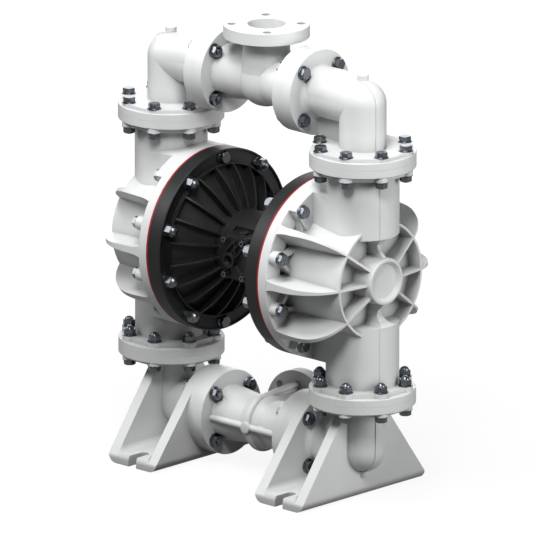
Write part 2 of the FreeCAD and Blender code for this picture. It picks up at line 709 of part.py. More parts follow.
def bolt_seats():
    """Flat seats that join the bosses beside a column, bounded by radial lines."""
    low_x = CLAMP_BACK_X - GROOVE_DEPTH - 1
    angle = [a for a in clamp_angles() if 45 < a < 80][0]
    p = circle_x(CLAMP_BOLT_R, angle, 0, 0)
    inward = V(0, -p.y, -p.z) * (1.0 / CLAMP_BOLT_R)
    across = V(0, inward.z, -inward.y)
    if across.y > 0:
        across = across * -1
    corner = p + across * (BOSS_R - 2)
    far = corner - inward * (CLAMP_BOLT_INSET + 6)
    near = corner + inward * (CLAMP_BOLT_R - DRUM_R + 12)
    rim = CLAMP_R + 10
    seats = []
    for up in (1, -1):
        points = [(near.y, -up * near.z), (far.y, -up * far.z), (far.y, up * rim), (-far.y, up * rim),
                  (-far.y, -up * far.z), (-near.y, -up * near.z)]
        plate = prism_x([(y, CHAMBER_Z + z) for y, z in points], low_x, BOSS_X)
        seats.append(plate.common(cyl_x(CLAMP_R - 0.5, low_x, BOSS_X, 0, CHAMBER_Z)))
    return seats


def chamber_cavity():
    end_x = FLOOR_X - CHAMBER_WALL
    back_r = RING_R - 10
    bowl = turned_x([(CHAMBER_FACE_X - EPS, 0), (CHAMBER_FACE_X - EPS, CLAMP_MOUTH_R),
                     (CHAMBER_FACE_X + 8, CLAMP_MOUTH_R - 4), (CHAMBER_FACE_X + 20, CLAMP_MOUTH_R - 9),
                     (end_x - 14, back_r),
                     (end_x - 4, back_r - 5), (end_x, back_r - 15), (end_x, 0)])
    floor = COLUMN_END + COLUMN_FLOOR
    seat_r = SEAT_R + SEAT_FIT
    low_step = LOWER_Z + SEAT_T + CAGE_RING_T
    ledge_top = UPPER_Z - CAGE_H - SEAT_T
    return [bowl,
            cyl_z(seat_r, LOWER_Z - EPS, low_step, COLUMN_X, 0),
            cyl_z(COLUMN_BORE_R, low_step - EPS, CHAMBER_Z - floor, COLUMN_X, 0),
            cyl_z(COLUMN_BORE_R, CHAMBER_Z + floor, ledge_top - LEDGE_T, COLUMN_X, 0),
            cyl_z(LEDGE_R, ledge_top - LEDGE_T - EPS, ledge_top + EPS, COLUMN_X, 0),
            cyl_z(seat_r, ledge_top, UPPER_Z + EPS, COLUMN_X, 0)]


def fluid_chamber(side):
    """Drum shaped fluid chamber with its column, one casting."""
    low_x = CLAMP_BACK_X - GROOVE_DEPTH
    drum = turned_x([(CHAMBER_FACE_X, 0), (CHAMBER_FACE_X, CLAMP_R - 1), (CHAMBER_FACE_X + 1, CLAMP_R),
                     (CLAMP_BACK_X - 2, CLAMP_R), (CLAMP_BACK_X, CLAMP_R - 2), (CLAMP_BACK_X, GROOVE_R),
                     (low_x, GROOVE_R), (low_x, DRUM_R), (RING_X, RING_R),
                     (RING_X, RING_R - RING_T), (FLOOR_X, RING_R - RING_T - 2), (FLOOR_X, 0)])
    hub = turned_x([(FLOOR_X - EPS, 0), (FLOOR_X - EPS, HUB_R + 3), (HUB_X - 2, HUB_R),
                    (HUB_X, HUB_R - 2), (HUB_X, HUB_R - HUB_RIM), (HUB_X - HUB_DISH, HUB_R - HUB_RIM - 7),
                    (HUB_X - HUB_DISH, 0)])
    pieces = [hub]
    pieces += [inner_rib(a) for a in BLADE_ANGLES]
    pieces += [blade(a) for a in BLADE_ANGLES]
    pieces += [clamp_boss(a) for a in clamp_angles() if not is_upright(a)]
    pieces += bolt_seats() + [column_web()]
    for up, joint in ((-1, LOWER_Z), (1, UPPER_Z)):
        end = CHAMBER_Z + up * COLUMN_END
        pieces.append(cyl_z(COLUMN_R, min(end, joint), max(end, joint), COLUMN_X, 0))
        pieces.append(column_flange(joint, -up, CHAMBER_PAD_T, True))
        pieces.append(spine(up))
        strip = cyl_z(COLUMN_R + STRIP_T, min(end, joint - up * 5), max(end, joint - up * 5), COLUMN_X, 0)
        pieces.append(strip.common(box(COLUMN_X, COLUMN_X + COLUMN_R + 2 * STRIP_T, -STRIP_HALF,
                                       STRIP_HALF, LOWER_Z, UPPER_Z)))
    body = joined(drum, pieces)
    cuts = chamber_cavity()
    cuts += column_holes(LOWER_Z, 1, CHAMBER_PAD_T)
    cuts += column_holes(UPPER_Z, -1, CHAMBER_PAD_T)
    for a in clamp_angles():
        p = circle_x(CLAMP_BOLT_R, a, 0)
        if is_upright(a):
            cuts.append(cyl_x(SHANK_R + THREAD_GAP, CHAMBER_FACE_X - EPS, BOSS_THREAD_X + 2, p.y, p.z))
        else:
            cuts.append(cyl_x(HOLE_R, CHAMBER_FACE_X - EPS, BOSS_X + EPS, p.y, p.z))
    return sided(body.cut(cuts), side)


# Black air side castings

def cover_slope():
    """Run of the sloped cover wall in X for each millimetre of radius."""
    hub_x = COVER_HUB_X + COVER_HUB_STEP
    return (COVER_STEP_X - hub_x) / (INNER_RING_R - INNER_RING_T - COVER_HUB_R)


def cover_inner_x(radius):
    slope = cover_slope()
    wall = COVER_WALL * math.sqrt(1 + slope * slope)
    return COVER_HUB_X + COVER_HUB_STEP + wall + slope * (radius - COVER_HUB_R)


def cover_rib(angle):
    p1 = (INNER_RING_X + 0.5, INNER_RING_R - 2)
    p2 = (COVER_HUB_X + 1, COVER_HUB_R - 2)
    dx = p2[0] - p1[0]
    dr = p2[1] - p1[1]
    length = math.hypot(dx, dr)
    mid = ((p1[0] + p2[0]) / 2 + COVER_RIB_BULGE * dr / length,
           (p1[1] + p2[1]) / 2 - COVER_RIB_BULGE * dx / length)
    z = CHAMBER_Z - COVER_RIB_T / 2
    a = V(p1[0], -p1[1], z)
    b = V(mid[0], -mid[1], z)
    c = V(p2[0], -p2[1], z)
    d = V(COVER_HUB_X + COVER_HUB_STEP + 5, -COVER_HUB_R + 2, z)
    e = V(COVER_STEP_X + 4, -INNER_RING_R + 2, z)
    arc = Part.Arc(a, b, c).toShape()
    wire = Part.Wire([arc, Part.makeLine(c, d), Part.makeLine(d, e), Part.makeLine(e, a)])
    return about_x(Part.Face(wire).extrude(V(0, 0, COVER_RIB_T)), angle)


def air_cover(side):
    """Black air cover: clamp lip, ledge for the nuts and twenty bulging radial ribs."""
    ring_in = INNER_RING_R - INNER_RING_T
    shell = turned_x([(COVER_FACE_X, 0), (COVER_FACE_X, CLAMP_R - 1), (COVER_FACE_X - 1, CLAMP_R),
                      (LIP_X + 2, CLAMP_R), (LIP_X, CLAMP_R - 2), (LIP_X, CLAMP_R - LIP_T),
                      (LEDGE_X, CLAMP_R - LIP_T - 1), (LEDGE_X, INNER_RING_R),
                      (INNER_RING_X, INNER_RING_R), (INNER_RING_X, ring_in), (COVER_STEP_X, ring_in),
                      (COVER_HUB_X + COVER_HUB_STEP, COVER_HUB_R), (COVER_HUB_X, COVER_HUB_R),
                      (COVER_HUB_X, 0)])
    step = 360.0 / COVER_RIBS
    ribs = [cover_rib(step * (k + 0.5)) for k in range(COVER_RIBS)]
    seats = []
    for a in clamp_angles():
        p = circle_x(CLAMP_BOLT_R, a, 0)
        seats.append(cyl_x(COLLAR_R + 1.5, LEDGE_X - 1.5, LEDGE_X + 3, p.y, p.z)
                     .common(turned_x([(LEDGE_X - 3, 0), (LEDGE_X - 3, CLAMP_R - 1),
                                       (LEDGE_X + 5, CLAMP_R - 1), (LEDGE_X + 5, 0)])))
    body = joined(shell, ribs + seats)
    inner_x = cover_inner_x(COVER_HUB_R)
    mouth_x = cover_inner_x(CLAMP_MOUTH_R)
    cuts = [turned_x([(COVER_FACE_X + EPS, 0), (COVER_FACE_X + EPS, CLAMP_MOUTH_R),
                      (mouth_x, CLAMP_MOUTH_R), (inner_x, COVER_HUB_R), (inner_x, 0)]),
            cyl_x(SPIGOT_R + SPIGOT_FIT, COVER_HUB_X - EPS, inner_x + EPS, 0, CHAMBER_Z),
            cyl_x(PIN_R + 1.5, COVER_HUB_X - EPS, inner_x + EPS, PIN_Y, CHAMBER_Z)]
    for a in clamp_angles():
        p = circle_x(CLAMP_BOLT_R, a, 0)
        cuts.append(cyl_x(HOLE_R, LEDGE_X - 5, COVER_FACE_X + EPS, p.y, p.z))
        cuts.append(cyl_x(CLAMP_COLLAR_R + POCKET_GAP, INNER_RING_X - EPS, LEDGE_X - 1.5, p.y, p.z))
    for p in cover_screw_points():
        cuts.append(cyl_x(5.5, COVER_HUB_X - EPS, inner_x + EPS, p.y, p.z))
    return sided(body.cut(cuts), side)


def cover_screw_points():
    step = 360.0 / COVER_SCREWS
    return [circle_x(COVER_SCREW_R, step * (k + 0.5), 0) for k in range(COVER_SCREWS)]


def center_block():
    """Centre section with the rod bore, the pilot pin bores and the seat for the air valve."""
    body = cyl_x(COVER_HUB_R, -COVER_HUB_X, COVER_HUB_X, 0, CHAMBER_Z)
    spigot = cyl_x(SPIGOT_R, -SPIGOT_X, SPIGOT_X, 0, CHAMBER_Z)
    rear = cyl_y(MUFFLER_NECK_R + 8, 60, MUFFLER_Y, 0, CHAMBER_Z)
    body = joined(body, [spigot, rear])
    half_z = VALVE_HALF_Z + 3
    cuts = [cyl_x(ROD_R + 1, -SPIGOT_X - EPS, SPIGOT_X + EPS, 0, CHAMBER_Z),
            box(-VALVE_HALF_X - 3, VALVE_HALF_X + 3, -COVER_HUB_R - EPS, VALVE_SEAT_Y,
                VALVE_Z - half_z - 20, VALVE_Z + half_z + 20),
            cyl_y(MUFFLER_NECK_R + THREAD_GAP, 40, MUFFLER_Y + EPS, 0, CHAMBER_Z)]
    for s in (-1, 1):
        x0 = s * BUSH_IN_X
        x1 = s * (SPIGOT_X + EPS)
        cuts.append(cyl_x(ROD_R + BUSH_T, min(x0, x1), max(x0, x1), 0, CHAMBER_Z))
        x2 = s * (BUSH_IN_X - 4)
        x3 = s * (BUSH_IN_X - 4 - SEAL_W)
        cuts.append(cyl_x(ROD_R + SEAL_T, min(x2, x3), max(x2, x3), 0, CHAMBER_Z))
        x4 = s * (PIN_TAIL_X - PIN_STROKE - 4)
        x5 = s * (COVER_HUB_X + EPS)
        cuts.append(cyl_x(PIN_R + ROD_FIT, min(x4, x5), max(x4, x5), PIN_Y, CHAMBER_Z))
        for p in cover_screw_points():
            x6 = s * (COVER_HUB_X - 22)
            cuts.append(cyl_x(5.0 + THREAD_GAP, min(x6, x5), max(x6, x5), p.y, p.z))
    for x in (-VALVE_SCREW_X, VALVE_SCREW_X):
        for z in (-VALVE_SCREW_Z, VALVE_SCREW_Z):
            cuts.append(cyl_y(4.0 + THREAD_GAP, VALVE_SEAT_Y - EPS, VALVE_SEAT_Y + 14,
                              x, VALVE_Z + z))
    return body.cut(cuts)


def rod_bushing(side):
    x0 = side * BUSH_IN_X
    x1 = side * SPIGOT_X
    a = min(x0, x1)
    b = max(x0, x1)
    sleeve = cyl_x(ROD_R + BUSH_T, a, b, 0, CHAMBER_Z)
    return sleeve.cut(cyl_x(ROD_R + ROD_FIT, a - EPS, b + EPS, 0, CHAMBER_Z))


def rod_seal(side):
    x0 = side * (BUSH_IN_X - 4)
    x1 = side * (BUSH_IN_X - 4 - SEAL_W)
    a = min(x0, x1)
    b = max(x0, x1)
    ring = cyl_x(ROD_R + SEAL_T, a, b, 0, CHAMBER_Z)
    return ring.cut(cyl_x(ROD_R + ROD_FIT, a - EPS, b + EPS, 0, CHAMBER_Z))


def air_valve_body():
    """Valve block with the upright spool bore and a plug seat at each end."""
    body = box(-VALVE_HALF_X, VALVE_HALF_X, VALVE_FRONT_Y, VALVE_SEAT_Y,
               VALVE_Z - VALVE_HALF_Z, VALVE_Z + VALVE_HALF_Z)
    edges = [e for e in body.Edges if e.BoundBox.YLength > 10]
    body = body.makeFillet(6.0, edges)
    cuts = [cyl_z(SPOOL_R + SPOOL_FIT, VALVE_Z - VALVE_HALF_Z - EPS, VALVE_Z + VALVE_HALF_Z + EPS,
                  0, SPOOL_Y)]
    for s in (-1, 1):
        end = VALVE_Z + s * (VALVE_HALF_Z + EPS)
        seat = VALVE_Z + s * (VALVE_HALF_Z - PLUG_T)
        cuts.append(cyl_z(PLUG_R + THREAD_GAP, min(end, seat), max(end, seat), 0, SPOOL_Y))
        cuts.append(cyl_y(5.0, SPOOL_Y, VALVE_SEAT_Y + EPS, s * 4.0, VALVE_Z + s * 16))
    cuts.append(cyl_y(8.0, VALVE_FRONT_Y - EPS, SPOOL_Y, 0, VALVE_Z - AIR_PORT_DROP))
    cuts.append(box(AIR_PORT_X - 8, 8, VALVE_FRONT_Y - EPS, VALVE_FRONT_Y + 4,
                    VALVE_Z - AIR_PORT_DROP - 8, VALVE_Z - AIR_PORT_DROP + 8))
    for x in (-VALVE_SCREW_X, VALVE_SCREW_X):
        for z in (-VALVE_SCREW_Z, VALVE_SCREW_Z):
            cuts.append(cyl_y(4.4, VALVE_FRONT_Y - EPS, VALVE_SEAT_Y + EPS, x, VALVE_Z + z))
    return body.cut(cuts)


def valve_plug(up):
    """Plug that closes an end of the spool bore, with a hexagon to turn it by."""
    seat = VALVE_Z + up * (VALVE_HALF_Z - PLUG_T)
    end = VALVE_Z + up * VALVE_HALF_Z
    disc = cyl_z(PLUG_R, min(seat, end), max(seat, end), 0, SPOOL_Y)
    key = hexagon(5.0, 0.0)
    key.translate(V(0, SPOOL_Y, end if up > 0 else end - 5.0))
    return joined(disc, [key])


def air_valve_cover():
    """Front plate of the air valve with the threaded air inlet and its stiffening ribs."""
    y0 = VALVE_FRONT_Y - VALVE_PLATE_T
    y1 = VALVE_FRONT_Y
    pieces = []
    port_z = VALVE_Z - AIR_PORT_DROP
    pads = []
    for x in (-VALVE_SCREW_X, VALVE_SCREW_X):
        for z in (-VALVE_SCREW_Z, VALVE_SCREW_Z):
            pads.append(cyl_y(10.5, y0, y1, x, VALVE_Z + z))
    web = box(-VALVE_HALF_X + 2, VALVE_HALF_X - 2, y0 + 4, y1, VALVE_Z - VALVE_HALF_Z + 2,
              VALVE_Z + VALVE_HALF_Z - 2)
    web = web.makeFillet(8.0, [e for e in web.Edges if e.BoundBox.YLength > 4
                               and e.BoundBox.ZLength < 0.1 and e.BoundBox.XLength < 0.1])
    port = cyl_y(AIR_PORT_R, y0 - AIR_PORT_LENGTH, y1, AIR_PORT_X, port_z)
    port_dz = port_z - VALVE_Z
    corner = (VALVE_SCREW_X, VALVE_SCREW_Z)
    lines = [((0, VALVE_SCREW_Z), (-VALVE_HALF_X + 4, 2)), ((0, VALVE_SCREW_Z), (4, 3)),
             ((AIR_PORT_X, port_dz), (-VALVE_SCREW_X, -VALVE_SCREW_Z)),
             ((AIR_PORT_X, port_dz), (VALVE_SCREW_X, -VALVE_SCREW_Z))]
    for shift in (-5, 5):
        lines.append(((AIR_PORT_X - shift, port_dz + shift), (corner[0] - shift, corner[1] + shift)))
    for (x0, z0), (x1, z1) in lines:
        length = math.hypot(x1 - x0, z1 - z0)
        rib = box(0, length, y0 - 3, y1, -1.8, 1.8)
        rib.rotate(V(0, 0, 0), V(0, 1, 0), -math.degrees(math.atan2(z1 - z0, x1 - x0)))
        rib.translate(V(x0, 0, VALVE_Z + z0))
        pieces.append(rib)
    outline = box(-VALVE_HALF_X, VALVE_HALF_X, y0 - 4, y1, VALVE_Z - VALVE_HALF_Z, VALVE_Z + VALVE_HALF_Z)
    pieces = [rib.common(outline) for rib in pieces]
    body = joined(web, pads + [port] + pieces)
    cuts = [cyl_y(AIR_THREAD_R, y0 - AIR_PORT_LENGTH - EPS, y1 - 3, AIR_PORT_X, port_z),
            cyl_y(7.5, y0, y1 + EPS, AIR_PORT_X, port_z)]
    for x in (-VALVE_SCREW_X, VALVE_SCREW_X):
        for z in (-VALVE_SCREW_Z, VALVE_SCREW_Z):
            cuts.append(cyl_y(4.4, y0 - 5, y1 + EPS, x, VALVE_Z + z))
            cuts.append(cyl_y(8.0, y0 - 5, y0, x, VALVE_Z + z))
    return body.cut(cuts)


def valve_spool():
    """Spool with three lands, at its lower stop."""
    half = VALVE_HALF_Z - PLUG_T - SPOOL_TRAVEL / 2 - 0.5
    z0 = VALVE_Z - VALVE_HALF_Z + PLUG_T + 0.5
    z1 = z0 + 2 * half
    neck = SPOOL_R - 4.5
    land = 12.0
    gap = (z1 - z0 - 3 * land) / 2
    points = [(0, z0)]
    z = z0
    for k in range(3):
        points += [(SPOOL_R, z), (SPOOL_R, z + land)]
        z += land
        if k < 2:
            points += [(neck, z), (neck, z + gap)]
            z += gap
    points.append((0, z1))
    return turned_z(points, 0, SPOOL_Y)


def muffler():
    """Exhaust muffler: ribbed can on a threaded neck."""
    y0 = MUFFLER_Y
    y1 = MUFFLER_Y + MUFFLER_LENGTH
    points = [(0, y0 - 22), (MUFFLER_NECK_R, y0 - 22), (MUFFLER_NECK_R, y0), (HEX_AF, y0),
              (HEX_AF, y0 + 8), (MUFFLER_R - 3, y0 + 8)]
    y = y0 + 12
    while y + 12 < y1:
        points += [(MUFFLER_R, y), (MUFFLER_R, y + 7), (MUFFLER_R - 3, y + 8), (MUFFLER_R - 3, y + 11)]
        y += 12
    points += [(MUFFLER_R - 6, y1), (0, y1)]
    face = face_of([V(r, y, CHAMBER_Z) for r, y in points])
    can = face.revolve(V(0, 0, CHAMBER_Z), V(0, 1, 0), 360)
    return can.cut(cyl_y(MUFFLER_NECK_R - 4, y0 - 22 - EPS, y1 - 6, 0, CHAMBER_Z))


# Diaphragm assembly

def diaphragm(side):
    """Red diaphragm: clamped edge, one convolution and a thick centre."""
    centre_x0 = AIR_PLATE_X + AIR_PLATE_T
    centre_x1 = centre_x0 + MEMBRANE_T
    in_r = AIR_PLATE_R + 2
    out_r = CLAMP_MOUTH_R - 1
    mid_r = (in_r + out_r) / 2
    crest = DIAPHRAGM_X + 15
    half = EDGE_T / 2
    points = [(centre_x0, STUD_R + ROD_FIT), (centre_x0, AIR_PLATE_R - 4),
              (DIAPHRAGM_X - half, in_r), (crest - 5, mid_r - 9), (crest - 3, mid_r),
              (crest - 5, mid_r + 9), (DIAPHRAGM_X - half, out_r), (DIAPHRAGM_X - half, CLAMP_R - 0.5),
              (DIAPHRAGM_X + half, CLAMP_R - 0.5), (DIAPHRAGM_X + half, out_r),
              (crest - 1, mid_r + 11), (crest + 1, mid_r), (crest - 1, mid_r - 11),
              (DIAPHRAGM_X + half, in_r), (centre_x1, AIR_PLATE_R - 6), (centre_x1, STUD_R + ROD_FIT)]
    body = turned_x(points)
    cuts = []
    for a in clamp_angles():
        p = circle_x(CLAMP_BOLT_R, a, 0)
        cuts.append(cyl_x(HOLE_R, DIAPHRAGM_X - 10, DIAPHRAGM_X + 10, p.y, p.z))
    return sided(body.cut(cuts), side)


def air_side_plate(side):
    x1 = AIR_PLATE_X + AIR_PLATE_T
    body = turned_x([(ROD_SHOULDER_X, STUD_R + ROD_FIT), (ROD_SHOULDER_X, AIR_PLATE_HUB_R),
                     (AIR_PLATE_X, AIR_PLATE_HUB_R + 4), (AIR_PLATE_X, AIR_PLATE_R - 10),
                     (AIR_PLATE_X + 4, AIR_PLATE_R - 5), (x1, AIR_PLATE_R - 5),
                     (x1, STUD_R + ROD_FIT)])
    return sided(body, side)


def fluid_side_plate(side):
    x0 = AIR_PLATE_X + AIR_PLATE_T + MEMBRANE_T
    body = turned_x([(x0, 0), (x0, FLUID_PLATE_R - 4), (x0 + 2, FLUID_PLATE_R),
                     (x0 + 6, FLUID_PLATE_R - 2), (x0 + 12, 55), (x0 + 22, 34),
                     (x0 + FLUID_PLATE_H - 3, 22), (x0 + FLUID_PLATE_H, 14), (x0 + FLUID_PLATE_H, 0)])
    bore = cyl_x(STUD_R + ROD_FIT, x0 - EPS, STUD_X + 1, 0, CHAMBER_Z)
    return sided(body.cut(bore), side)


def diaphragm_rod():
    half = [(ROD_SHOULDER_X, ROD_R), (ROD_SHOULDER_X, STUD_R), (STUD_X - 1.5, STUD_R),
            (STUD_X, STUD_R - 1.5), (STUD_X, 0)]
    points = [(-x, r) for x, r in reversed(half)] + half
    return turned_x(points)


def pilot_pin(side):
    """Sensor pin that the air side plate meets near the end of its stroke."""
    x_head = PIN_TIP_X - PIN_HEAD_T
    stem = cyl_x(PIN_R, PIN_TAIL_X, x_head + EPS, PIN_Y, CHAMBER_Z)
    head = cyl_x(PIN_HEAD_R, x_head, PIN_TIP_X - 2, PIN_Y, CHAMBER_Z)
    tip = cone_x(PIN_HEAD_R, PIN_HEAD_R - 3, PIN_TIP_X - 2, PIN_TIP_X, PIN_Y, CHAMBER_Z)
    return sided(joined(stem, [head, tip]), side)


# Check valves

def seat_cone():
    """Slope of the seat where it touches the ball, and the ball height above the seat top."""
    touch_r = (SEAT_BORE_R + SEAT_LIP_R) / 2
    sphere = BALL_R + BALL_GAP
    rise = touch_r / math.sqrt(sphere * sphere - touch_r * touch_r)
    cone_h = rise * (SEAT_LIP_R - SEAT_BORE_R)
    centre = math.sqrt(sphere * sphere - touch_r * touch_r) - cone_h / 2
    return cone_h, centre


def seat_z(up):
    """Underside of a seat: at the lower joint, or on the ledge in the upper column."""
    if up < 0:
        return LOWER_Z
    return UPPER_Z - CAGE_H - SEAT_T


def valve_seat(side, up):
    z0 = seat_z(up)
    cone_h, centre = seat_cone()
    seal_h = 2 * SEAL_R
    body = turned_z([(SEAT_BORE_R, z0), (SEAT_R - seal_h, z0), (SEAT_R - seal_h, z0 + seal_h),
                     (SEAT_R, z0 + seal_h), (SEAT_R, z0 + SEAT_T), (SEAT_LIP_R, z0 + SEAT_T),
                     (SEAT_BORE_R, z0 + SEAT_T - cone_h)], COLUMN_X, 0)
    return sided(body, side)


def seat_seal(side, up):
    ring = Part.makeTorus(SEAT_R - SEAL_R, SEAL_R, V(COLUMN_X, 0, seat_z(up) + SEAL_R), V(0, 0, 1))
    return sided(ring, side)


def seat_seals():
    return Part.makeCompound([seat_seal(side, up) for side in (1, -1) for up in (-1, 1)])


def ball_centre_z(up):
    return seat_z(up) + SEAT_T + seat_cone()[1]


def check_ball(side, up):
    return sided(Part.makeSphere(BALL_R, V(COLUMN_X, 0, ball_centre_z(up))), side)


def ball_cage(side, up):
    """Cage on the seat: base ring, four guide fins and a cross that stops the ball."""
    z0 = seat_z(up) + SEAT_T
    z1 = z0 + CAGE_H
    stop = ball_centre_z(up) + BALL_R + BALL_LIFT + BALL_GAP
    fin_out = COLUMN_BORE_R - SEAT_FIT
    ring = cyl_z(SEAT_R, z0, z0 + CAGE_RING_T, COLUMN_X, 0)
    ring = ring.cut(cyl_z(CAGE_RING_R, z0 - EPS, z0 + CAGE_RING_T + EPS, COLUMN_X, 0))
    guide = BALL_R + GUIDE_GAP
    pieces = []
    for k in range(CAGE_FINS):
        fin = box(guide, fin_out - 1, -CAGE_FIN_T / 2, CAGE_FIN_T / 2, z0, z1)
        bar = box(0, guide + EPS, -CAGE_FIN_T / 2, CAGE_FIN_T / 2, stop, z1)
        for piece in (fin, bar):
            piece.rotate(V(0, 0, 0), V(0, 0, 1), 45 + 360.0 / CAGE_FINS * k)
            piece.translate(V(COLUMN_X, 0, 0))
            pieces.append(piece)
    pieces.append(cyl_z(12.0, stop, z1, COLUMN_X, 0))
    if up > 0:
        rim = cyl_z(SEAT_R, z1 - 5, z1, COLUMN_X, 0)
        pieces.append(rim.cut(cyl_z(fin_out - 4, z1 - 5 - EPS, z1 + EPS, COLUMN_X, 0)))
    return sided(joined(ring, pieces), side)


# Groups of equal fasteners

def clamp_bolts():
    """Clamp bolts from the chamber side."""
    item = bolt(BOSS_X - (LEDGE_X - 1.5), NUT_H)
    out = []
    for side in (1, -1):
        for a in clamp_angles():
            if not is_upright(a):
                p = circle_x(CLAMP_BOLT_R, a, side * BOSS_X)
                out.append(put(item, p, V(-side, 0, 0)))
    return Part.makeCompound(out)


def clamp_bolts_short():
    """Bolts from the cover side into threads, where the columns leave no room for a head."""
    seat_x = LEDGE_X - 1.5
    item = bolt(BOSS_THREAD_X - seat_x, 0, CLAMP_COLLAR_R)
    out = []
    for side in (1, -1):
        for a in clamp_angles():
            if is_upright(a):
                p = circle_x(CLAMP_BOLT_R, a, side * seat_x)
                out.append(put(item, p, V(side, 0, 0)))
    return Part.makeCompound(out)


def clamp_nuts():
    item = acorn_nut(CLAMP_COLLAR_R, DOME_RISE)
    out = []
    for side in (1, -1):
        for a in clamp_angles():
            if not is_upright(a):
                p = circle_x(CLAMP_BOLT_R, a, side * (LEDGE_X - 1.5))
                out.append(put(item, p, V(-side, 0, 0)))
    return Part.makeCompound(out)


def column_group(item, z, axis):
    out = []
    for side in (1, -1):
        for a in column_angles():
            p = circle_z(COLUMN_BOLT_R, a, z, side * COLUMN_X)
            out.append(put(item, p, axis))
    return Part.makeCompound(out)


def column_grip():
    return 2 * RIM_T + ELBOW_PAD_T + CHAMBER_PAD_T


def upper_bolts():
    z = UPPER_Z + RIM_T + ELBOW_PAD_T
    return column_group(bolt(column_grip(), NUT_H + 5), z, V(0, 0, -1))


def upper_nuts():
    z = UPPER_Z - RIM_T - CHAMBER_PAD_T
    return column_group(flange_nut(), z, V(0, 0, -1))


def lower_bolts():
    z = LOWER_Z - RIM_T - ELBOW_PAD_T
    return column_group(bolt(column_grip(), NUT_H), z, V(0, 0, 1))


def lower_nuts():
    z = LOWER_Z + RIM_T + CHAMBER_PAD_T
    return column_group(acorn_nut(COLLAR_R, 0), z, V(0, 0, 1))


def manifold_bolts(axis_z, head_x):
    nut_x = MANIFOLD_JOINT_X - PORT_FLANGE_T
    item = bolt(head_x - nut_x, NUT_H + COLLAR_T + 4)
    out = []
    for side in (1, -1):
        for a in port_angles():
            p = circle_x(PORT_BOLT_R, a, side * head_x, axis_z)
            out.append(put(item, p, V(-side, 0, 0)))
    return Part.makeCompound(out)


def manifold_nuts():
    nut_x = MANIFOLD_JOINT_X - PORT_FLANGE_T
    item = flange_nut()
    out = []
    for axis_z in (INLET_Z, OUTLET_Z):
        for side in (1, -1):
            for a in port_angles():
                p = circle_x(PORT_BOLT_R, a, side * nut_x, axis_z)
                out.append(put(item, p, V(-side, 0, 0)))
    return Part.makeCompound(out)


def valve_screws():
    item = cap_screw(4.0, 6.5, 8.0, -VALVE_FRONT_Y + VALVE_PLATE_T + VALVE_SEAT_Y + 12, 3.2)
    out = []
    for x in (-VALVE_SCREW_X, VALVE_SCREW_X):
        for z in (-VALVE_SCREW_Z, VALVE_SCREW_Z):
            p = V(x, VALVE_FRONT_Y - VALVE_PLATE_T, VALVE_Z + z)
            out.append(put(item, p, V(0, 1, 0)))
    return Part.makeCompound(out)


def cover_screws():
    inner_x = cover_inner_x(COVER_HUB_R)
    item = cap_screw(5.0, 8.0, 9.0, inner_x - COVER_HUB_X + 20, 4.0)
    out = []
    for side in (1, -1):
        for p in cover_screw_points():
            out.append(put(item, V(side * inner_x, p.y, p.z), V(-side, 0, 0)))
    return Part.makeCompound(out)


def all_nodes():
    nodes = {}
    for name, side in (("right", 1), ("left", -1)):
        nodes["foot_elbow_" + name] = foot_elbow(side)
        nodes["fluid_chamber_" + name] = fluid_chamber(side)
        nodes["discharge_elbow_" + name] = discharge_elbow(side)
        nodes["air_cover_" + name] = air_cover(side)
        nodes["diaphragm_" + name] = diaphragm(side)
        nodes["air_side_plate_" + name] = air_side_plate(side)
        nodes["fluid_side_plate_" + name] = fluid_side_plate(side)
        nodes["rod_bushing_" + name] = rod_bushing(side)
        nodes["rod_seal_" + name] = rod_seal(side)
        nodes["pilot_pin_" + name] = pilot_pin(side)
        for level, up in (("inlet", -1), ("outlet", 1)):
            nodes[level + "_seat_" + name] = valve_seat(side, up)
            nodes[level + "_ball_" + name] = check_ball(side, up)
            nodes[level + "_cage_" + name] = ball_cage(side, up)
    nodes["seat_seals"] = seat_seals()
    nodes["manifold_seals"] = manifold_seals()
    nodes["inlet_tee"] = inlet_tee()
    nodes["discharge_tee"] = discharge_tee()
    nodes["center_block"] = center_block()
    nodes["diaphragm_rod"] = diaphragm_rod()
    nodes["air_valve_body"] = air_valve_body()
    nodes["air_valve_cover"] = air_valve_cover()
    nodes["air_valve_spool"] = valve_spool()
    nodes["valve_plug_top"] = valve_plug(1)
    nodes["valve_plug_bottom"] = valve_plug(-1)
    nodes["muffler"] = muffler()
    nodes["clamp_bolts"] = clamp_bolts()
    nodes["clamp_bolts_short"] = clamp_bolts_short()
    nodes["clamp_nuts"] = clamp_nuts()
    nodes["upper_joint_bolts"] = upper_bolts()
    nodes["upper_joint_nuts"] = upper_nuts()
    nodes["lower_joint_bolts"] = lower_bolts()
    nodes["lower_joint_nuts"] = lower_nuts()
    nodes["outlet_manifold_bolts"] = manifold_bolts(OUTLET_Z, MANIFOLD_JOINT_X + PORT_FLANGE_T)
    nodes["inlet_manifold_bolts"] = manifold_bolts(INLET_Z, FOOT_IN_X + FOOT_PLATE_T)
    nodes["manifold_nuts"] = manifold_nuts()
    nodes["valve_screws"] = valve_screws()
    nodes["cover_screws"] = cover_screws()
    return nodes


def main():
    os.makedirs("parts", exist_ok=True)
    for name, shape in all_nodes().items():
        shape.exportStep("parts/%s.step" % name)


main()
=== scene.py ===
import math

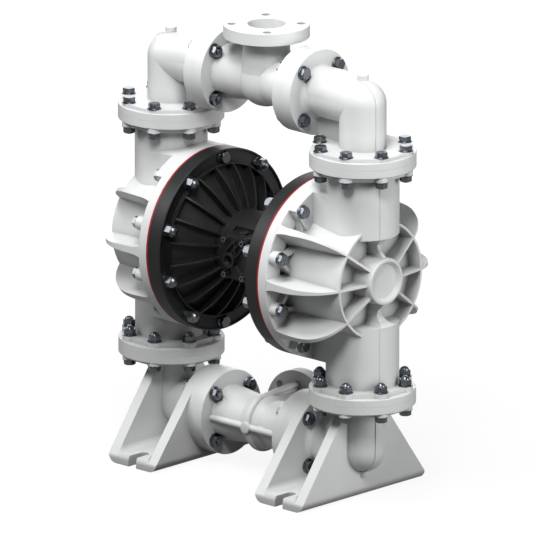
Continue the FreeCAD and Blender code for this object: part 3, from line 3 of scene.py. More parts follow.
import bmesh
import bpy
from bpy.props import FloatProperty, FloatVectorProperty, IntProperty, PointerProperty
from mathutils import Matrix, Vector
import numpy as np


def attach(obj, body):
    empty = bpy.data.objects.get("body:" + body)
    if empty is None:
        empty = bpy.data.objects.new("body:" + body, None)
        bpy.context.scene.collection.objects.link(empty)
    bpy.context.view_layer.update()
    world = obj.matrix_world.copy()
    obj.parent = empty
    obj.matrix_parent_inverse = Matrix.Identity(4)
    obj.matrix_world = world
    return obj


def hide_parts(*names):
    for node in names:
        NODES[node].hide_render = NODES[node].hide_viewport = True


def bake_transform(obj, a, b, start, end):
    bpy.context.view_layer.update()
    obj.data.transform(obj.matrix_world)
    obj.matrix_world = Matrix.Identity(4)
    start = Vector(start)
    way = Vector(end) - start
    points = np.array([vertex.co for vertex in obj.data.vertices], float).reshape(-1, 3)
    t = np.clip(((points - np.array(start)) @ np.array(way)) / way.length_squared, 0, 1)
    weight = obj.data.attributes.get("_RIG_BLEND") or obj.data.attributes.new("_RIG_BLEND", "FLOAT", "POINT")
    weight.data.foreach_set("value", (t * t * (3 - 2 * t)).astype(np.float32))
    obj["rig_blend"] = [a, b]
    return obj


bl_info = {
    "name": "Diaphragm pump finishes",
    "version": (1, 0, 0),
    "blender": (4, 5, 0),
    "location": "View3D > Sidebar > Pump",
    "description": "Finishes, trimmed feet, beads, thread, diaphragms and studio for a pump",
    "category": "Object",
}

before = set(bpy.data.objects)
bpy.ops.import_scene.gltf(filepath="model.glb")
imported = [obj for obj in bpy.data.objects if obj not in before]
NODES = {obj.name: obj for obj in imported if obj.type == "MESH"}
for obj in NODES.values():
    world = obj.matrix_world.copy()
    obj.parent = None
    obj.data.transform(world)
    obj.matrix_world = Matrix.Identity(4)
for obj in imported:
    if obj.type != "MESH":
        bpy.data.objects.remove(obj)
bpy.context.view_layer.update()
MM = 0.001
WELD = 1e-6  # vertices nearer than this, in metres, are merged
RING_STEPS = 32  # corners round a bead or the plug
BEND_STEPS = 20  # rings of the bead where it runs round the belly
PORT_STEPS = 16  # lines of a foot's outline round the port flange
CUT_MARGIN = 0.5 * MM  # how far a trim reaches past a plate's two faces
TOE_MARGIN = 12 * MM  # how far in front of the toe a trim begins
THREAD_SINK = 0.3 * MM  # how far the thread's root is sunk into the bore's wall
STEEL_EDGE = 0.6 * MM  # radius that softens the edges of bolts and nuts
FLOOR_RADIUS = 9.0  # of the studio floor, in metres
GLOSS_SHARE = 0.25  # share of the white surroundings that shows in gloss


# Colours and small helpers

def linear_from_hex(text):
    """Linear colour from an sRGB hex value."""
    values = [int(text[i:i + 2], 16) / 255 for i in (1, 3, 5)]
    return [v / 12.92 if v <= 0.04045 else ((v + 0.055) / 1.055) ** 2.4 for v in values]


def colour_property(name, description, text):
    """Colour setting with an sRGB hex value as its default."""
    return FloatVectorProperty(name=name, description=description, subtype="COLOR", size=3,
                               min=0.0, max=1.0, default=linear_from_hex(text))


def length_property(name, description, millimetres):
    """Length setting that can't be negative, with its default in millimetres."""
    return FloatProperty(name=name, description=description, unit="LENGTH",
                         default=millimetres * MM, min=0.0)


def place_property(name, description, millimetres):
    """Setting for a place along an axis, on either side of its origin."""
    return FloatProperty(name=name, description=description, unit="LENGTH",
                         default=millimetres * MM)


def angle_property(name, description, degrees):
    """Angle setting with its default in degrees."""
    return FloatProperty(name=name, description=description, subtype="ANGLE",
                         default=math.radians(degrees))


def power_property(name, description, watts):
    """Power setting of a light, in watts."""
    return FloatProperty(name=name, description=description, default=watts, min=0.0)


def nodes_named(*starts):
    """CAD nodes whose names begin with one of these words."""
    found = [NODES[n] for n in sorted(NODES) if n.startswith(starts)]
    if not found:
        raise RuntimeError("no CAD node begins with " + ", ".join(starts))
    return found


def give_material(objects, material):
    """Makes the material the only one of each object."""
    for obj in objects:
        obj.data.materials.clear()
        obj.data.materials.append(material)


def add_node(tree, kind, settings=None, inputs=None, links=None):
    """Adds a shader node with its settings, input values and links from (node, socket)."""
    node = tree.nodes.new(kind)
    for key, value in (settings or {}).items():
        setattr(node, key, value)
    for key, value in (inputs or {}).items():
        node.inputs[key].default_value = value
    for key, (source, socket) in (links or {}).items():
        tree.links.new(source.outputs[socket], node.inputs[key])
    return node


def blank_material(name, colour):
    """Material with an empty node tree and the colour that the viewport shows."""
    material = bpy.data.materials.new(name)
    material.use_nodes = True
    material.diffuse_color = (*colour, 1.0)
    material.node_tree.nodes.clear()
    return material


def close_material(tree, shader):
    """Links the shader to the material's output."""
    add_node(tree, "ShaderNodeOutputMaterial", links={"Surface": (shader, 0)})


def object_noise(tree, size_mm, detail, roughness=0.5):
    """Noise in object space whose features are about so many millimetres wide."""
    place = add_node(tree, "ShaderNodeTexCoord")
    return add_node(tree, "ShaderNodeTexNoise",
                    inputs={"Scale": 1.0 / (size_mm * MM), "Detail": detail,
                            "Roughness": roughness},
                    links={"Vector": (place, "Object")})


def tinted(tree, noise, low, high):
    """Colour that wanders between two near shades with a noise."""
    ramp = add_node(tree, "ShaderNodeValToRGB", links={"Fac": (noise, "Fac")})
    ramp.color_ramp.elements[0].position = 0.3
    ramp.color_ramp.elements[0].color = (*low, 1.0)
    ramp.color_ramp.elements[1].position = 0.7
    ramp.color_ramp.elements[1].color = (*high, 1.0)
    return ramp


def shade(colour, factor):
    """The colour made lighter or darker by a factor."""
    return [min(1.0, c * factor) for c in colour]


def painted_corner_shade(tree, base, dark, reach):
    """Painted shade: colour that turns dark where surfaces meet within the reach, in metres."""
    corner = add_node(tree, "ShaderNodeAmbientOcclusion", {"samples": 6}, {"Distance": reach})
    openness = add_node(tree, "ShaderNodeMapRange", inputs={"From Min": 0.35, "From Max": 0.85},
                        links={"Value": (corner, "AO")})
    return add_node(tree, "ShaderNodeMix", {"data_type": "RGBA"}, {6: (*dark, 1.0)},
                    {0: (openness, "Result"), 7: (base, "Color")})


# Materials

def moulded_polypropylene(props):
    """White polypropylene, injection moulded: a satin, faintly mottled skin with a fine grain, and painted
    shade in its recesses.
    """
    colour = list(props.white)
    material = blank_material("moulded_white_polypropylene", colour)
    tree = material.node_tree
    mottle = object_noise(tree, 70.0, 2.0)
    skin_tone = tinted(tree, mottle, shade(colour, 0.965), shade(colour, 1.0))
    # Painted shade: recesses between ribs and under flanges are painted darker where surfaces meet
    base = painted_corner_shade(tree, skin_tone, shade(colour, 0.55), 0.045)
    # The real grain is about 0.2 mm, drawn at 1.6 mm so that it shows
    grain = object_noise(tree, 1.6, 2.0)
    soft = add_node(tree, "ShaderNodeBevel", {"samples": 4}, {"Radius": props.casting_edge})
    skin = add_node(tree, "ShaderNodeBump", inputs={"Strength": 0.05, "Distance": 0.0004},
                    links={"Height": (grain, "Fac"), "Normal": (soft, "Normal")})
    rough = add_node(tree, "ShaderNodeMapRange",
                     inputs={"To Min": 0.38, "To Max": 0.48}, links={"Value": (mottle, "Fac")})
    shader = add_node(tree, "ShaderNodeBsdfPrincipled", inputs={"IOR": 1.49},
                      links={"Base Color": (base, 2), "Roughness": (rough, "Result"),
                             "Normal": (skin, "Normal")})
    close_material(tree, shader)
    return material


def glass_filled_polypropylene(props):
    """Black glass filled polypropylene, injection moulded: dull, with faint flow marks."""
    colour = list(props.black)
    material = blank_material("moulded_black_glass_filled_polypropylene", colour)
    tree = material.node_tree
    flow = object_noise(tree, 24.0, 3.0)
    base = tinted(tree, flow, shade(colour, 0.8), shade(colour, 1.25))
    # Glass fibres near the skin give a speckle of about 1 mm
    grain = object_noise(tree, 1.1, 2.0)
    soft = add_node(tree, "ShaderNodeBevel", {"samples": 4}, {"Radius": props.casting_edge})
    skin = add_node(tree, "ShaderNodeBump", inputs={"Strength": 0.12, "Distance": 0.0004},
                    links={"Height": (grain, "Fac"), "Normal": (soft, "Normal")})
    rough = add_node(tree, "ShaderNodeMapRange",
                     inputs={"To Min": 0.42, "To Max": 0.56}, links={"Value": (flow, "Fac")})
    shader = add_node(tree, "ShaderNodeBsdfPrincipled", inputs={"IOR": 1.5},
                      links={"Base Color": (base, "Color"), "Roughness": (rough, "Result"),
                             "Normal": (skin, "Normal")})
    close_material(tree, shader)
    return material


def moulded_elastomer(props):
    """Red thermoplastic elastomer, compression moulded: smooth and slightly dull."""
    colour = list(props.red)
    material = blank_material("moulded_red_elastomer", colour)
    tree = material.node_tree
    cloud = object_noise(tree, 15.0, 2.0)
    base = tinted(tree, cloud, shade(colour, 0.9), shade(colour, 1.08))
    grain = object_noise(tree, 0.9, 1.0)
    skin = add_node(tree, "ShaderNodeBump", inputs={"Strength": 0.08, "Distance": 0.0003},
                    links={"Height": (grain, "Fac")})
    shader = add_node(tree, "ShaderNodeBsdfPrincipled", inputs={"Roughness": 0.5, "IOR": 1.5},
                      links={"Base Color": (base, "Color"), "Normal": (skin, "Normal")})
    close_material(tree, shader)
    return material


def stainless_steel(name, colour, roughness, lay_mm):
    """Stainless steel, cold formed or turned: dull to bright, with a fine tooling lay and painted shade at
    its collars.
    """
    material = blank_material(name, colour)
    tree = material.node_tree
    stain = object_noise(tree, 6.0, 3.0)
    metal = tinted(tree, stain, shade(colour, 0.85), shade(colour, 1.1))
    # Painted shade: collars and the roots of heads are painted darker where they meet other surfaces
    base = painted_corner_shade(tree, metal, shade(colour, 0.3), 0.012)
    lay = object_noise(tree, lay_mm, 2.0)
    soft = add_node(tree, "ShaderNodeBevel", {"samples": 4}, {"Radius": STEEL_EDGE})
    skin = add_node(tree, "ShaderNodeBump", inputs={"Strength": 0.06, "Distance": 0.0002},
                    links={"Height": (lay, "Fac"), "Normal": (soft, "Normal")})
    rough = add_node(tree, "ShaderNodeMapRange",
                     inputs={"To Min": roughness - 0.05, "To Max": roughness + 0.08},
                     links={"Value": (stain, "Fac")})
    shader = add_node(tree, "ShaderNodeBsdfPrincipled", inputs={"Metallic": 1.0},
                      links={"Base Color": (base, 2), "Roughness": (rough, "Result"),
                             "Normal": (skin, "Normal")})
    close_material(tree, shader)
    return material


def plain_polymer(name, colour, roughness, ior, cloud_mm):
    """Turned or moulded engineering plastic or rubber with a faint cloudiness."""
    material = blank_material(name, colour)
    tree = material.node_tree
    cloud = object_noise(tree, cloud_mm, 2.0)
    base = tinted(tree, cloud, shade(colour, 0.94), shade(colour, 1.03))
    grain = object_noise(tree, 0.8, 2.0)
    skin = add_node(tree, "ShaderNodeBump", inputs={"Strength": 0.05, "Distance": 0.0002},
                    links={"Height": (grain, "Fac")})
    shader = add_node(tree, "ShaderNodeBsdfPrincipled",
                      inputs={"Roughness": roughness, "IOR": ior},
                      links={"Base Color": (base, "Color"), "Normal": (skin, "Normal")})
    close_material(tree, shader)
    return material


def porous_plastic(props):
    """Sintered porous plastic of the muffler: dark grey with open pores."""
    colour = list(props.muffler)
    material = blank_material("sintered_porous_plastic", colour)
    tree = material.node_tree
    place = add_node(tree, "ShaderNodeTexCoord")
    pores = add_node(tree, "ShaderNodeTexVoronoi", inputs={"Scale": 1.0 / (1.4 * MM)},
                     links={"Vector": (place, "Object")})
    base = tinted(tree, object_noise(tree, 3.0, 3.0), shade(colour, 0.7), shade(colour, 1.3))
    skin = add_node(tree, "ShaderNodeBump", inputs={"Strength": 0.35, "Distance": 0.0005},
                    links={"Height": (pores, "Distance")})
    shader = add_node(tree, "ShaderNodeBsdfPrincipled", inputs={"Roughness": 0.8},
                      links={"Base Color": (base, "Color"), "Normal": (skin, "Normal")})
    close_material(tree, shader)
    return material


# Settings that a user may change

class PumpFinishes(bpy.types.PropertyGroup):
    """Colours and edge softness of the pump."""
    white: colour_property("Castings", "White polypropylene of the wetted castings", "#E8E9E9")
    black: colour_property("Air side", "Black plastic of the air covers and centre", "#151617")
    red: colour_property("Diaphragm", "Red elastomer of the diaphragms", "#A80E10")
    steel: colour_property("Fasteners", "Dark stainless steel of bolts and nuts", "#767B81")
    bright_steel: colour_property("Clamp nuts", "Brighter stainless steel", "#7C8085")
    muffler: colour_property("Muffler", "Grey porous plastic", "#3A3B3D")
    casting_edge: length_property("Casting edge", "Radius that softens the castings' edges", 1.4)


class PumpThreads(bpy.types.PropertyGroup):
    """Pipe thread inside the air inlet."""
    pitch: length_property("Pitch", "Thread pitch", 1.81)
    depth: length_property("Depth", "Height of the thread above the bore", 0.9)
    bore: length_property("Bore", "Radius of the air inlet bore", 12.1)
    length: length_property("Length", "Threaded length", 13.0)
    inlet_x: place_property("Inlet X", "Place of the inlet axis along X", -12.5)
    inlet_z: length_property("Inlet Z", "Height of the inlet axis", 498.5)
    mouth_y: place_property("Mouth Y", "Place of the inlet mouth along Y", -110.0)
    steps: IntProperty(name="Steps", description="Steps of the helix in each turn", default=36,
                       min=8, max=96)


class PumpDiaphragms(bpy.types.PropertyGroup):
    """Where the diaphragms bend."""
    axis_z: length_property("Axis height", "Height of the chamber axis", 501.5)
    clamped: length_property("Clamped radius", "Radius beyond which the edge is held", 139.0)
    plated: length_property("Plate radius", "Radius up to which plates carry the centre", 100.0)
    crease: angle_property("Crease", "Angle above which an edge stays sharp", 35)


class PumpFeet(bpy.types.PropertyGroup):
    """Outlines of the feet's side plates."""
    toe_y: length_property("Toe reach", "Distance of the toes from the chamber's axis", 194.0)
    toe_z: length_property("Toe height", "Height at which the slopes of the plates begin", 17.0)
    port_r: length_property("Port flange", "Radius of the flange at the inner plates", 95.25)
    port_z: length_property("Port height", "Height of the suction joint's axis", 110.5)
    inner_near: length_property("Inner plate, near", "Face toward the suction tee", 151.0)
    inner_far: length_property("Inner plate, far", "Face toward the channel", 177.0)
    outer_near: length_property("Outer plate, near", "Face toward the channel", 271.0)
    outer_far: length_property("Outer plate, far", "Face on the outside", 297.0)
    outer_slope: angle_property("Outer slope", "Rise of the outer plate's edge", 54)
    leg_half: length_property("Leg", "Half width that is left for the elbow's leg", 56.0)
    plate_top: length_property("Plate top", "Height at which the inner trim ends", 215.5)
    pad_z: length_property("Pad", "Underside of the pads on the column flange", 208.4)
    crease: angle_property("Crease", "Angle above which an edge stays sharp", 30)


class PumpBeads(bpy.types.PropertyGroup):
    """Round stiffening beads that stand proud on the inlet tee."""
    radius: length_property("Bead radius", "Radius of the beads", 8.0)
    half: length_property("Half length", "Half the length of the bead along the run", 109.0)
    reach: length_property("Reach", "Distance of the front bead from the run's axis", 60.5)
    boss: length_property("Plug radius", "Radius of the plug on the front", 13.0)
    boss_reach: length_property("Plug reach", "Distance of the plug's face from the axis", 71.0)
    boss_edge: length_property("Plug edge", "Bevel round the plug's face", 1.5)
    axis_z: length_property("Axis height", "Height of the run's axis", 110.5)
    top_front: length_property("Top bead, front", "Start of its straight part, forward", 22.0)
    top_low: length_property("Top bead, low end", "Height of that start above the axis", 57.0)
    top_back: length_property("Top bead, back", "End of the top bead behind the axis", 96.0)
    top_high: length_property("Top bead, high end", "Height of that end above the axis", 65.5)
    crease: angle_property("Crease", "Angle above which an edge stays sharp", 40)


class PumpStudio(bpy.types.PropertyGroup):
    """Camera and light."""
    azimuth: angle_property("Azimuth", "Camera angle round the pump from its front", 43.94)
    elevation: angle_property("Elevation", "Angle of the camera above the floor", 15.83)
    target_height: length_property("Target height", "Height of the image centre", 465.0)
    frame_width: length_property("Frame width", "Width of the view at the pump", 1170.3)
    distance: length_property("Distance", "Camera distance", 40000.0)
    top: power_property("Top", "Power of the light above, in watts", 64.0)
    front: power_property("Front", "Power of the front light, in watts", 74.0)
    left: power_property("Left", "Power of the left light, in watts", 34.0)
    right: power_property("Right", "Power of the right light, in watts", 36.0)
    rear: power_property("Rear", "Power of the light behind, in watts", 55.0)
    ambient: FloatProperty(name="Ambient", description="Strength of the surrounding light",
                           default=0.03, min=0.0)


# Pieces

class PUMP_OT_castings(bpy.types.Operator):
    """Gives the white castings their moulded skin"""
    bl_idname = "pump.castings"
    bl_label = "White castings"

    def execute(self, context):
        props = context.scene.pump_finishes
        give_material(nodes_named("foot_elbow", "fluid_chamber", "discharge_", "inlet_tee",
                                  "fluid_side_plate", "inlet_seat", "outlet_seat", "inlet_cage",
                                  "outlet_cage"), moulded_polypropylene(props))
        return {"FINISHED"}


def close_form(form):
    """Merges the form's doubles and turns its faces outward."""
    bmesh.ops.remove_doubles(form, verts=form.verts, dist=WELD)
    bmesh.ops.recalc_face_normals(form, faces=form.faces)


def new_object(form, name):
    """Turns a finished form into an object of the scene."""
    mesh = bpy.data.meshes.new(name)
    form.to_mesh(mesh)
    form.free()
    piece = bpy.data.objects.new(name, mesh)
    bpy.context.scene.collection.objects.link(piece)
    return piece


def only(kind, made):
    """The items of one kind among what an operator made."""
    return [item for item in made if isinstance(item, kind)]


def welded_copy(node, name, crease):
    """Copies a CAD node into a piece of its own, welded, with smooth faces and sharp creases."""
    form = bmesh.new()
    form.from_mesh(NODES[node].data)
    close_form(form)
    mark_creases(form, crease)
    return new_object(form, name)


def mark_creases(form, crease):
    """Smooth faces, and sharp edges wherever the surface turns by more than the crease."""
    for face in form.faces:
        face.smooth = True
    for edge in form.edges:
        edge.smooth = edge.calc_face_angle(0.0) < crease


def add_prism_x(form, profile, x0, x1):
    """Adds a closed prism along X over a profile of Y and Z."""
    face = form.faces.new([form.verts.new((x0, y, z)) for y, z in profile])
    pulled = bmesh.ops.extrude_face_region(form, geom=[face, *face.edges, *face.verts],
                                           use_keep_orig=True)["geom"]
    bmesh.ops.translate(form, verts=only(bmesh.types.BMVert, pulled), vec=(x1 - x0, 0.0, 0.0))


def inner_trim(feet):
    """Profile cut off an inner plate: outside two lines that meet the port flange as tangents."""
    toe = Vector((-feet.toe_y, feet.toe_z))
    centre = Vector((0.0, feet.port_z))
    reach = centre - toe
    angle = math.atan2(reach.y, reach.x) + math.asin(feet.port_r / reach.length)
    line = Vector((math.cos(angle), math.sin(angle)))
    start = toe - line * TOE_MARGIN
    # The outline touches the flange at a right angle to the line and follows it to its top
    arc = [math.pi / 2 + angle * (1 - step / PORT_STEPS) for step in range(PORT_STEPS + 1)]
    curve = [centre + feet.port_r * Vector((math.cos(a), math.sin(a))) for a in arc]
    half = [(start.x, feet.plate_top), (start.x, start.y), *((p.x, p.y) for p in curve)]
    return half + [(-y, z) for y, z in reversed(half[:-1])]


def outer_trim(feet, end):
    """Profile cut off an outer plate: above a flatter slope, clear of the elbow's leg."""
    toe = Vector((-feet.toe_y, feet.toe_z))
    line = Vector((math.cos(feet.outer_slope), math.sin(feet.outer_slope)))
    start = toe - line * TOE_MARGIN
    meet = toe + line * ((feet.toe_y - feet.leg_half) / line.x)
    points = [start]
    if meet.y < feet.pad_z:
        points.append(meet)
        points.append(Vector((meet.x, feet.pad_z)))
    else:
        points.append(toe + line * ((feet.pad_z - feet.toe_z) / line.y))
    points.append(Vector((start.x, feet.pad_z)))
    return [(-end * p.x, p.y) for p in points]


class PUMP_OT_feet(bpy.types.Operator):
    """Trims the feet's side plates to the outlines of the photo"""
    bl_idname = "pump.feet"
    bl_label = "Feet"

    def execute(self, context):
        feet = context.scene.pump_feet
        plastic = NODES["foot_elbow_left"].data.materials[0]
        for side, sign in (("left", -1), ("right", 1)):
            form = bmesh.new()
            add_prism_x(form, inner_trim(feet), sign * (feet.inner_near - CUT_MARGIN),
                        sign * (feet.inner_far + CUT_MARGIN))
            for end in (-1, 1):
                add_prism_x(form, outer_trim(feet, end), sign * (feet.outer_near - CUT_MARGIN),
                            sign * (feet.outer_far + CUT_MARGIN))
            close_form(form)
            cutter = new_object(form, "trim")
            piece = welded_copy("foot_elbow_" + side, "trimmed_foot_elbow_" + side, feet.crease)
            cut = piece.modifiers.new("trim", "BOOLEAN")
            cut.operation = "DIFFERENCE"
            cut.solver = "EXACT"
            cut.object = cutter
            bake_modifiers(piece, feet.crease)
            bpy.data.objects.remove(cutter)
            give_material([piece], plastic)
            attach(piece, "casing")
            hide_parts("foot_elbow_" + side)
        return {"FINISHED"}


def bake_modifiers(piece, crease):
    """Turns the modifiers' result into the mesh, and weights its normals by area."""
    view = bpy.context.evaluated_depsgraph_get()
    solid = bpy.data.meshes.new_from_object(piece.evaluated_get(view))
    # A failed cut leaves nothing or only the cutter
    if len(solid.polygons) < len(piece.data.polygons) / 2:
        raise RuntimeError("the trim of %s left %d faces" % (piece.name, len(solid.polygons)))
    form = bmesh.new()
    form.from_mesh(solid)
    bmesh.ops.remove_doubles(form, verts=form.verts, dist=WELD)
    mark_creases(form, crease)
    form.to_mesh(solid)
    form.free()
    piece.modifiers.clear()
    piece.data = solid
    even = piece.modifiers.new("even_normals", "WEIGHTED_NORMAL")
    even.keep_sharp = True


class PUMP_OT_air_side(bpy.types.Operator):
    """Gives the black air side its glass filled skin, and the muffler its pores"""
    bl_idname = "pump.air_side"
    bl_label = "Air side"

    def execute(self, context):
        props = context.scene.pump_finishes
        give_material(nodes_named("air_cover", "center_block", "air_valve_body", "air_valve_cover",
                                  "valve_plug"), glass_filled_polypropylene(props))
        give_material(nodes_named("muffler"), porous_plastic(props))
        return {"FINISHED"}


def inner_thread(form, thread):
    """Winds one closed ridge of the thread along the form's Z, pointing inward."""
    root = thread.bore + THREAD_SINK
    crest = thread.bore - thread.depth
    # The ridge takes 88% of the pitch at its root and 20% at its crest
    half = thread.pitch * 0.44
    flat = thread.pitch * 0.1
    corners = [form.verts.new((r, 0.0, z))
               for r, z in ((root, -half), (crest, -flat), (crest, flat), (root, half))]
    face = form.faces.new(corners)
    turns = thread.length / thread.pitch
    bmesh.ops.spin(form, geom=[face, *face.edges, *corners], cent=(0, 0, 0), axis=(0, 0, 1),
                   dvec=(0, 0, thread.pitch / thread.steps), angle=2 * math.pi * turns,
                   steps=round(turns * thread.steps), use_duplicate=False)
    close_form(form)


class PUMP_OT_inlet_thread(bpy.types.Operator):
    """Winds the pipe thread into the bore of the air inlet"""
    bl_idname = "pump.inlet_thread"
    bl_label = "Air inlet thread"

    def execute(self, context):
        thread = context.scene.pump_threads
        form = bmesh.new()
        inner_thread(form, thread)
        inward = Matrix.Rotation(math.radians(-90), 4, "X")
        start = Matrix.Translation((thread.inlet_x, thread.mouth_y + thread.pitch, thread.inlet_z))
        form.transform(start @ inward)
        piece = new_object(form, "air_inlet_thread")
        give_material([piece], NODES["air_valve_cover"].data.materials[0])
        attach(piece, "casing")
        return {"FINISHED"}


def bend_by_radius(piece, place):
    """Lets the clamped edge stay with the casing and the centre go with the rod."""
    x = piece.data.vertices[0].co.x
    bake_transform(piece, "casing", "rod_assembly", start=(x, 0.0, place.axis_z + place.clamped),
             end=(x, 0.0, place.axis_z + place.plated))
    # The bend goes by the distance from the axis, the same all the way round
    share = piece.data.attributes["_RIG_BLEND"]
    for vertex in piece.data.vertices:
        radius = math.hypot(vertex.co.y, vertex.co.z - place.axis_z)
        t = (place.clamped - radius) / (place.clamped - place.plated)
        t = min(1.0, max(0.0, t))
        share.data[vertex.index].value = t * t * (3 - 2 * t)


def add_rod(form, start, end, radius):
    """Adds a closed round rod between two points."""
    along = end - start
    turn = along.to_track_quat("Z", "Y").to_matrix().to_4x4()
    place = Matrix.Translation((start + end) / 2) @ turn
    bmesh.ops.create_cone(form, cap_ends=True, segments=RING_STEPS, radius1=radius,
                          radius2=radius, depth=along.length, matrix=place)


def add_bent_rod(form, radius, arc, angle, axis_z, end):
    """Adds a closed rod that turns about the run's axis from the front, then goes straight on."""
    front = Matrix.Translation((0.0, -arc, axis_z))
    ring = bmesh.ops.create_circle(form, segments=RING_STEPS, radius=radius, matrix=front)["verts"]
    edges = list({edge for vertex in ring for edge in vertex.link_edges})
    turned = bmesh.ops.spin(form, geom=ring + edges, cent=(0, 0, axis_z), axis=(-1, 0, 0),
                            angle=angle, steps=BEND_STEPS, use_duplicate=False)["geom_last"]
    pulled = bmesh.ops.extrude_edge_only(form, edges=only(bmesh.types.BMEdge, turned))["geom"]
    bend = Vector((0.0, -arc * math.cos(angle), axis_z + arc * math.sin(angle)))
    bmesh.ops.translate(form, verts=only(bmesh.types.BMVert, pulled), vec=end - bend)
    bmesh.ops.holes_fill(form, edges=[edge for edge in form.edges if edge.is_boundary])


class PUMP_OT_tee_beads(bpy.types.Operator):
    """Adds the beads and the plug that stand proud on the inlet tee"""
    bl_idname = "pump.tee_beads"
    bl_label = "Inlet tee beads"

    def execute(self, context):
        bead = context.scene.pump_beads
        form = bmesh.new()
        z = bead.axis_z
        add_rod(form, Vector((-bead.half, -bead.reach, z)), Vector((bead.half, -bead.reach, z)),
                bead.radius)
        add_rod(form, Vector((0.0, -bead.reach, z)), Vector((0.0, -bead.boss_reach, z)), bead.boss)
        # Only the plug's face reaches this far, so its rim alone gets the bevel
        front = WELD - bead.boss_reach
        rim = [edge for edge in form.edges if all(vertex.co.y < front for vertex in edge.verts)]
        bmesh.ops.bevel(form, geom=rim, offset=bead.boss_edge, segments=2, profile=0.5,
                        affect="EDGES", material=-1)
        # The top bead follows the belly from the plug up to where its straight part begins
        add_bent_rod(form, bead.radius, arc=math.hypot(bead.top_low, bead.top_front),
                     angle=math.atan2(bead.top_low, bead.top_front), axis_z=z,
                     end=Vector((0.0, bead.top_back, z + bead.top_high)))
        close_form(form)
        mark_creases(form, bead.crease)
        piece = new_object(form, "inlet_tee_beads")
        give_material([piece], NODES["inlet_tee"].data.materials[0])
        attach(piece, "casing")
        return {"FINISHED"}


class PUMP_OT_diaphragms(bpy.types.Operator):
    """Makes the red diaphragms flex between the clamped edge and the rod"""
    bl_idname = "pump.diaphragms"
    bl_label = "Diaphragms"

    def execute(self, context):
        elastomer = moulded_elastomer(context.scene.pump_finishes)
        place = context.scene.pump_diaphragms
        for side in ("left", "right"):
            piece = welded_copy("diaphragm_" + side, "flexing_diaphragm_" + side, place.crease)
            give_material([piece], elastomer)
            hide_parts("diaphragm_" + side)
            bend_by_radius(piece, place)
        return {"FINISHED"}


class PUMP_OT_fasteners(bpy.types.Operator):
    """Gives bolts, nuts and screws their stainless steel"""
    bl_idname = "pump.fasteners"
    bl_label = "Fasteners"

    def execute(self, context):
        props = context.scene.pump_finishes
        dark = stainless_steel("cold_formed_stainless_steel", list(props.steel), 0.26, 1.5)
        bright = stainless_steel("polished_stainless_steel", list(props.bright_steel), 0.34, 1.2)
        give_material(nodes_named("clamp_bolts", "upper_joint", "lower_joint",
                                  "outlet_manifold_bolts", "inlet_manifold_bolts",
                                  "manifold_nuts", "cover_screws"), dark)
        give_material(nodes_named("clamp_nuts", "valve_screws"), bright)
        return {"FINISHED"}


class PUMP_OT_working_parts(bpy.types.Operator):
    """Gives the inner working parts their steel, acetal, rubber and PTFE"""
    bl_idname = "pump.working_parts"
    bl_label = "Working parts"

    def execute(self, context):
        props = context.scene.pump_finishes
        bright = stainless_steel("turned_stainless_steel", list(props.bright_steel), 0.22, 0.8)
        acetal = plain_polymer("turned_acetal", linear_from_hex("#D9D6C8"), 0.35, 1.48, 20.0)
        ptfe = plain_polymer("turned_ptfe", linear_from_hex("#F2F2EE"), 0.4, 1.38, 12.0)
        rubber = plain_polymer("moulded_nitrile_rubber", linear_from_hex("#202020"), 0.6, 1.5, 8.0)
        give_material(nodes_named("diaphragm_rod", "pilot_pin", "air_side_plate"), bright)
        give_material(nodes_named("air_valve_spool", "rod_bushing"), acetal)
        give_material(nodes_named("inlet_ball", "outlet_ball", "seat_seals", "manifold_seals"),
                      ptfe)
        give_material(nodes_named("rod_seal"), rubber)
        return {"FINISHED"}


class PUMP_OT_stage(bpy.types.Operator):
    """Builds the floor, the lights, the world and the camera"""
    bl_idname = "pump.stage"
    bl_label = "Studio"

    def execute(self, context):
        studio = context.scene.pump_studio
        build_floor()
        build_world(studio.ambient)
        build_lights(studio)
        build_camera(studio)
        context.scene.view_settings.view_transform = "Standard"
        return {"FINISHED"}


def build_floor():
    """Pale floor disc that shows white to the camera and keeps the pump's shadow."""
    form = bmesh.new()
    bmesh.ops.create_circle(form, cap_ends=True, segments=96, radius=FLOOR_RADIUS)
    floor = new_object(form, "floor")
    grey = linear_from_hex("#606060")
    pale = linear_from_hex("#C8C8C8")
    material = blank_material("matt_studio_floor", grey)
    tree = material.node_tree
    # Grey for the light that it throws back at the pump, pale for the camera
    path = add_node(tree, "ShaderNodeLightPath")
    tone = add_node(tree, "ShaderNodeMix", {"data_type": "RGBA"},
                    {6: (*grey, 1.0), 7: (*pale, 1.0)}, {0: (path, "Is Camera Ray")})
    matt = add_node(tree, "ShaderNodeBsdfDiffuse", links={"Color": (tone, 2)})
    # Near the pump some of the lit floor shows through the white, so that its shadow stays
    glow = add_node(tree, "ShaderNodeEmission", inputs={"Color": (1, 1, 1, 1), "Strength": 1.09})
    place = add_node(tree, "ShaderNodeTexCoord")
    reach = add_node(tree, "ShaderNodeVectorMath", {"operation": "LENGTH"},
                     links={0: (place, "Object")})
    share = add_node(tree, "ShaderNodeMapRange",
                     inputs={"From Min": 0.7, "From Max": 2.2, "To Min": 0.84, "To Max": 1.0},
                     links={"Value": (reach, "Value")})
    seen = add_node(tree, "ShaderNodeMath", {"operation": "MULTIPLY"},
                    links={0: (share, "Result"), 1: (background_rays(tree), 0)})
    mixed = add_node(tree, "ShaderNodeMixShader",
                     links={0: (seen, 0), 1: (matt, 0), 2: (glow, 0)})
    close_material(tree, mixed)
    give_material([floor], material)


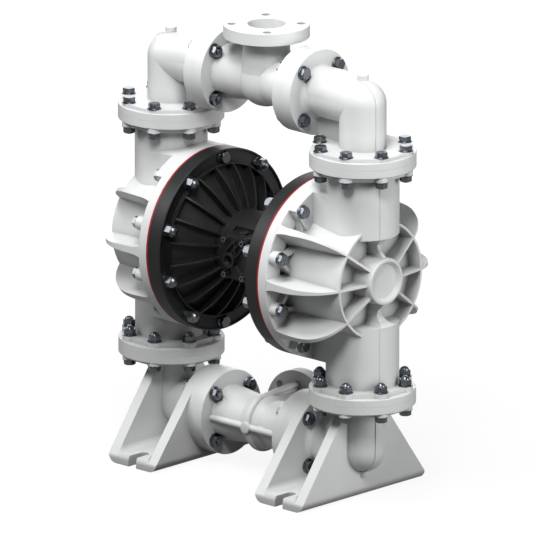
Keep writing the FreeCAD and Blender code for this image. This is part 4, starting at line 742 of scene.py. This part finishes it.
def background_rays(tree):
    """One for rays that see the background directly or through glass, and a share in gloss."""
    path = add_node(tree, "ShaderNodeLightPath")
    direct = add_node(tree, "ShaderNodeMath", {"operation": "MAXIMUM"},
                      links={0: (path, "Is Camera Ray"), 1: (path, "Is Transmission Ray")})
    gloss = add_node(tree, "ShaderNodeMath", {"operation": "MULTIPLY"}, {1: GLOSS_SHARE},
                     {0: (path, "Is Glossy Ray")})
    return add_node(tree, "ShaderNodeMath", {"operation": "MAXIMUM"},
                    links={0: (direct, 0), 1: (gloss, 0)})


def build_world(ambient):
    """White to the camera, to gloss and through glass, and a softer light on the pump."""
    world = bpy.data.worlds.new("studio")
    bpy.context.scene.world = world
    world.use_nodes = True
    tree = world.node_tree
    tree.nodes.clear()
    light, white = (add_node(tree, "ShaderNodeBackground",
                             inputs={"Color": (1, 1, 1, 1), "Strength": strength})
                    for strength in (ambient, 1.0))
    mixed = add_node(tree, "ShaderNodeMixShader",
                     links={0: (background_rays(tree), 0), 1: (light, 0), 2: (white, 0)})
    add_node(tree, "ShaderNodeOutputWorld", links={"Surface": (mixed, 0)})


def soft_light(name, power, width, place, target):
    """Round softbox at a place, turned toward the target."""
    data = bpy.data.lights.new(name, "AREA")
    data.shape = "DISK"
    data.size = width
    data.energy = power
    lamp = bpy.data.objects.new(name, data)
    lamp.location = place
    lamp.rotation_mode = "QUATERNION"
    lamp.rotation_quaternion = (Vector(target) - Vector(place)).to_track_quat("-Z", "Y")
    bpy.context.scene.collection.objects.link(lamp)


def build_lights(studio):
    """Lights above and in front, a softbox on either side and a fill behind the pump."""
    target = (0.0, 0.0, 0.5)
    soft_light("top_light", studio.top, 1.3, (0.35, -1.2, 3.75), target)
    soft_light("front_light", studio.front, 1.2, (1.6, -2.2, 3.2), target)
    soft_light("left_light", studio.left, 1.5, (-2.5, -1.8, 2.4), target)
    soft_light("right_light", studio.right, 1.5, (2.8, 0.9, 1.0), target)
    soft_light("rear_light", studio.rear, 3.0, (-2.6, 2.6, 1.2), target)


def build_camera(studio):
    """Camera at the photograph's angle, far away with a long lens, so lines stay parallel."""
    data = bpy.data.cameras.new("camera")
    camera = bpy.data.objects.new("camera", data)
    bpy.context.scene.collection.objects.link(camera)
    a = studio.azimuth
    e = studio.elevation
    back = Vector((math.sin(a) * math.cos(e), -math.cos(a) * math.cos(e), math.sin(e)))
    data.sensor_width = 36.0
    data.lens = data.sensor_width * studio.distance / studio.frame_width
    data.clip_start = 1.0
    data.clip_end = studio.distance * 3
    camera.location = Vector((0, 0, studio.target_height)) + back * studio.distance
    camera.rotation_mode = "QUATERNION"
    camera.rotation_quaternion = (-back).to_track_quat("-Z", "Y")
    bpy.context.scene.camera = camera


class PUMP_PT_panel(bpy.types.Panel):
    """Lists the pump's pieces and its settings"""
    bl_idname = "PUMP_PT_panel"
    bl_label = "Diaphragm pump"
    bl_space_type = "VIEW_3D"
    bl_region_type = "UI"
    bl_category = "Pump"

    def draw(self, context):
        for name, kind in GROUPS.items():
            box = self.layout.box()
            for setting in kind.__annotations__:
                box.prop(getattr(context.scene, name), setting)
        for operator in OPERATORS:
            self.layout.operator(operator.bl_idname)


GROUPS = {"pump_finishes": PumpFinishes, "pump_threads": PumpThreads,
          "pump_diaphragms": PumpDiaphragms, "pump_feet": PumpFeet, "pump_beads": PumpBeads,
          "pump_studio": PumpStudio}
OPERATORS = (PUMP_OT_castings, PUMP_OT_feet, PUMP_OT_tee_beads, PUMP_OT_air_side,
             PUMP_OT_inlet_thread, PUMP_OT_diaphragms, PUMP_OT_fasteners,
             PUMP_OT_working_parts, PUMP_OT_stage)
CLASSES = (*GROUPS.values(), *OPERATORS, PUMP_PT_panel)


def register():
    for cls in CLASSES:
        bpy.utils.register_class(cls)
    for name, kind in GROUPS.items():
        setattr(bpy.types.Scene, name, PointerProperty(type=kind))


def unregister():
    for name in GROUPS:
        delattr(bpy.types.Scene, name)
    for cls in reversed(CLASSES):
        bpy.utils.unregister_class(cls)


def main():
    """Makes every piece and the stage, in order."""
    register()
    bpy.ops.pump.castings()
    bpy.ops.pump.feet()
    bpy.ops.pump.tee_beads()
    bpy.ops.pump.air_side()
    bpy.ops.pump.inlet_thread()
    bpy.ops.pump.diaphragms()
    bpy.ops.pump.fasteners()
    bpy.ops.pump.working_parts()
    bpy.ops.pump.stage()


if __name__ == "__main__":
    main()
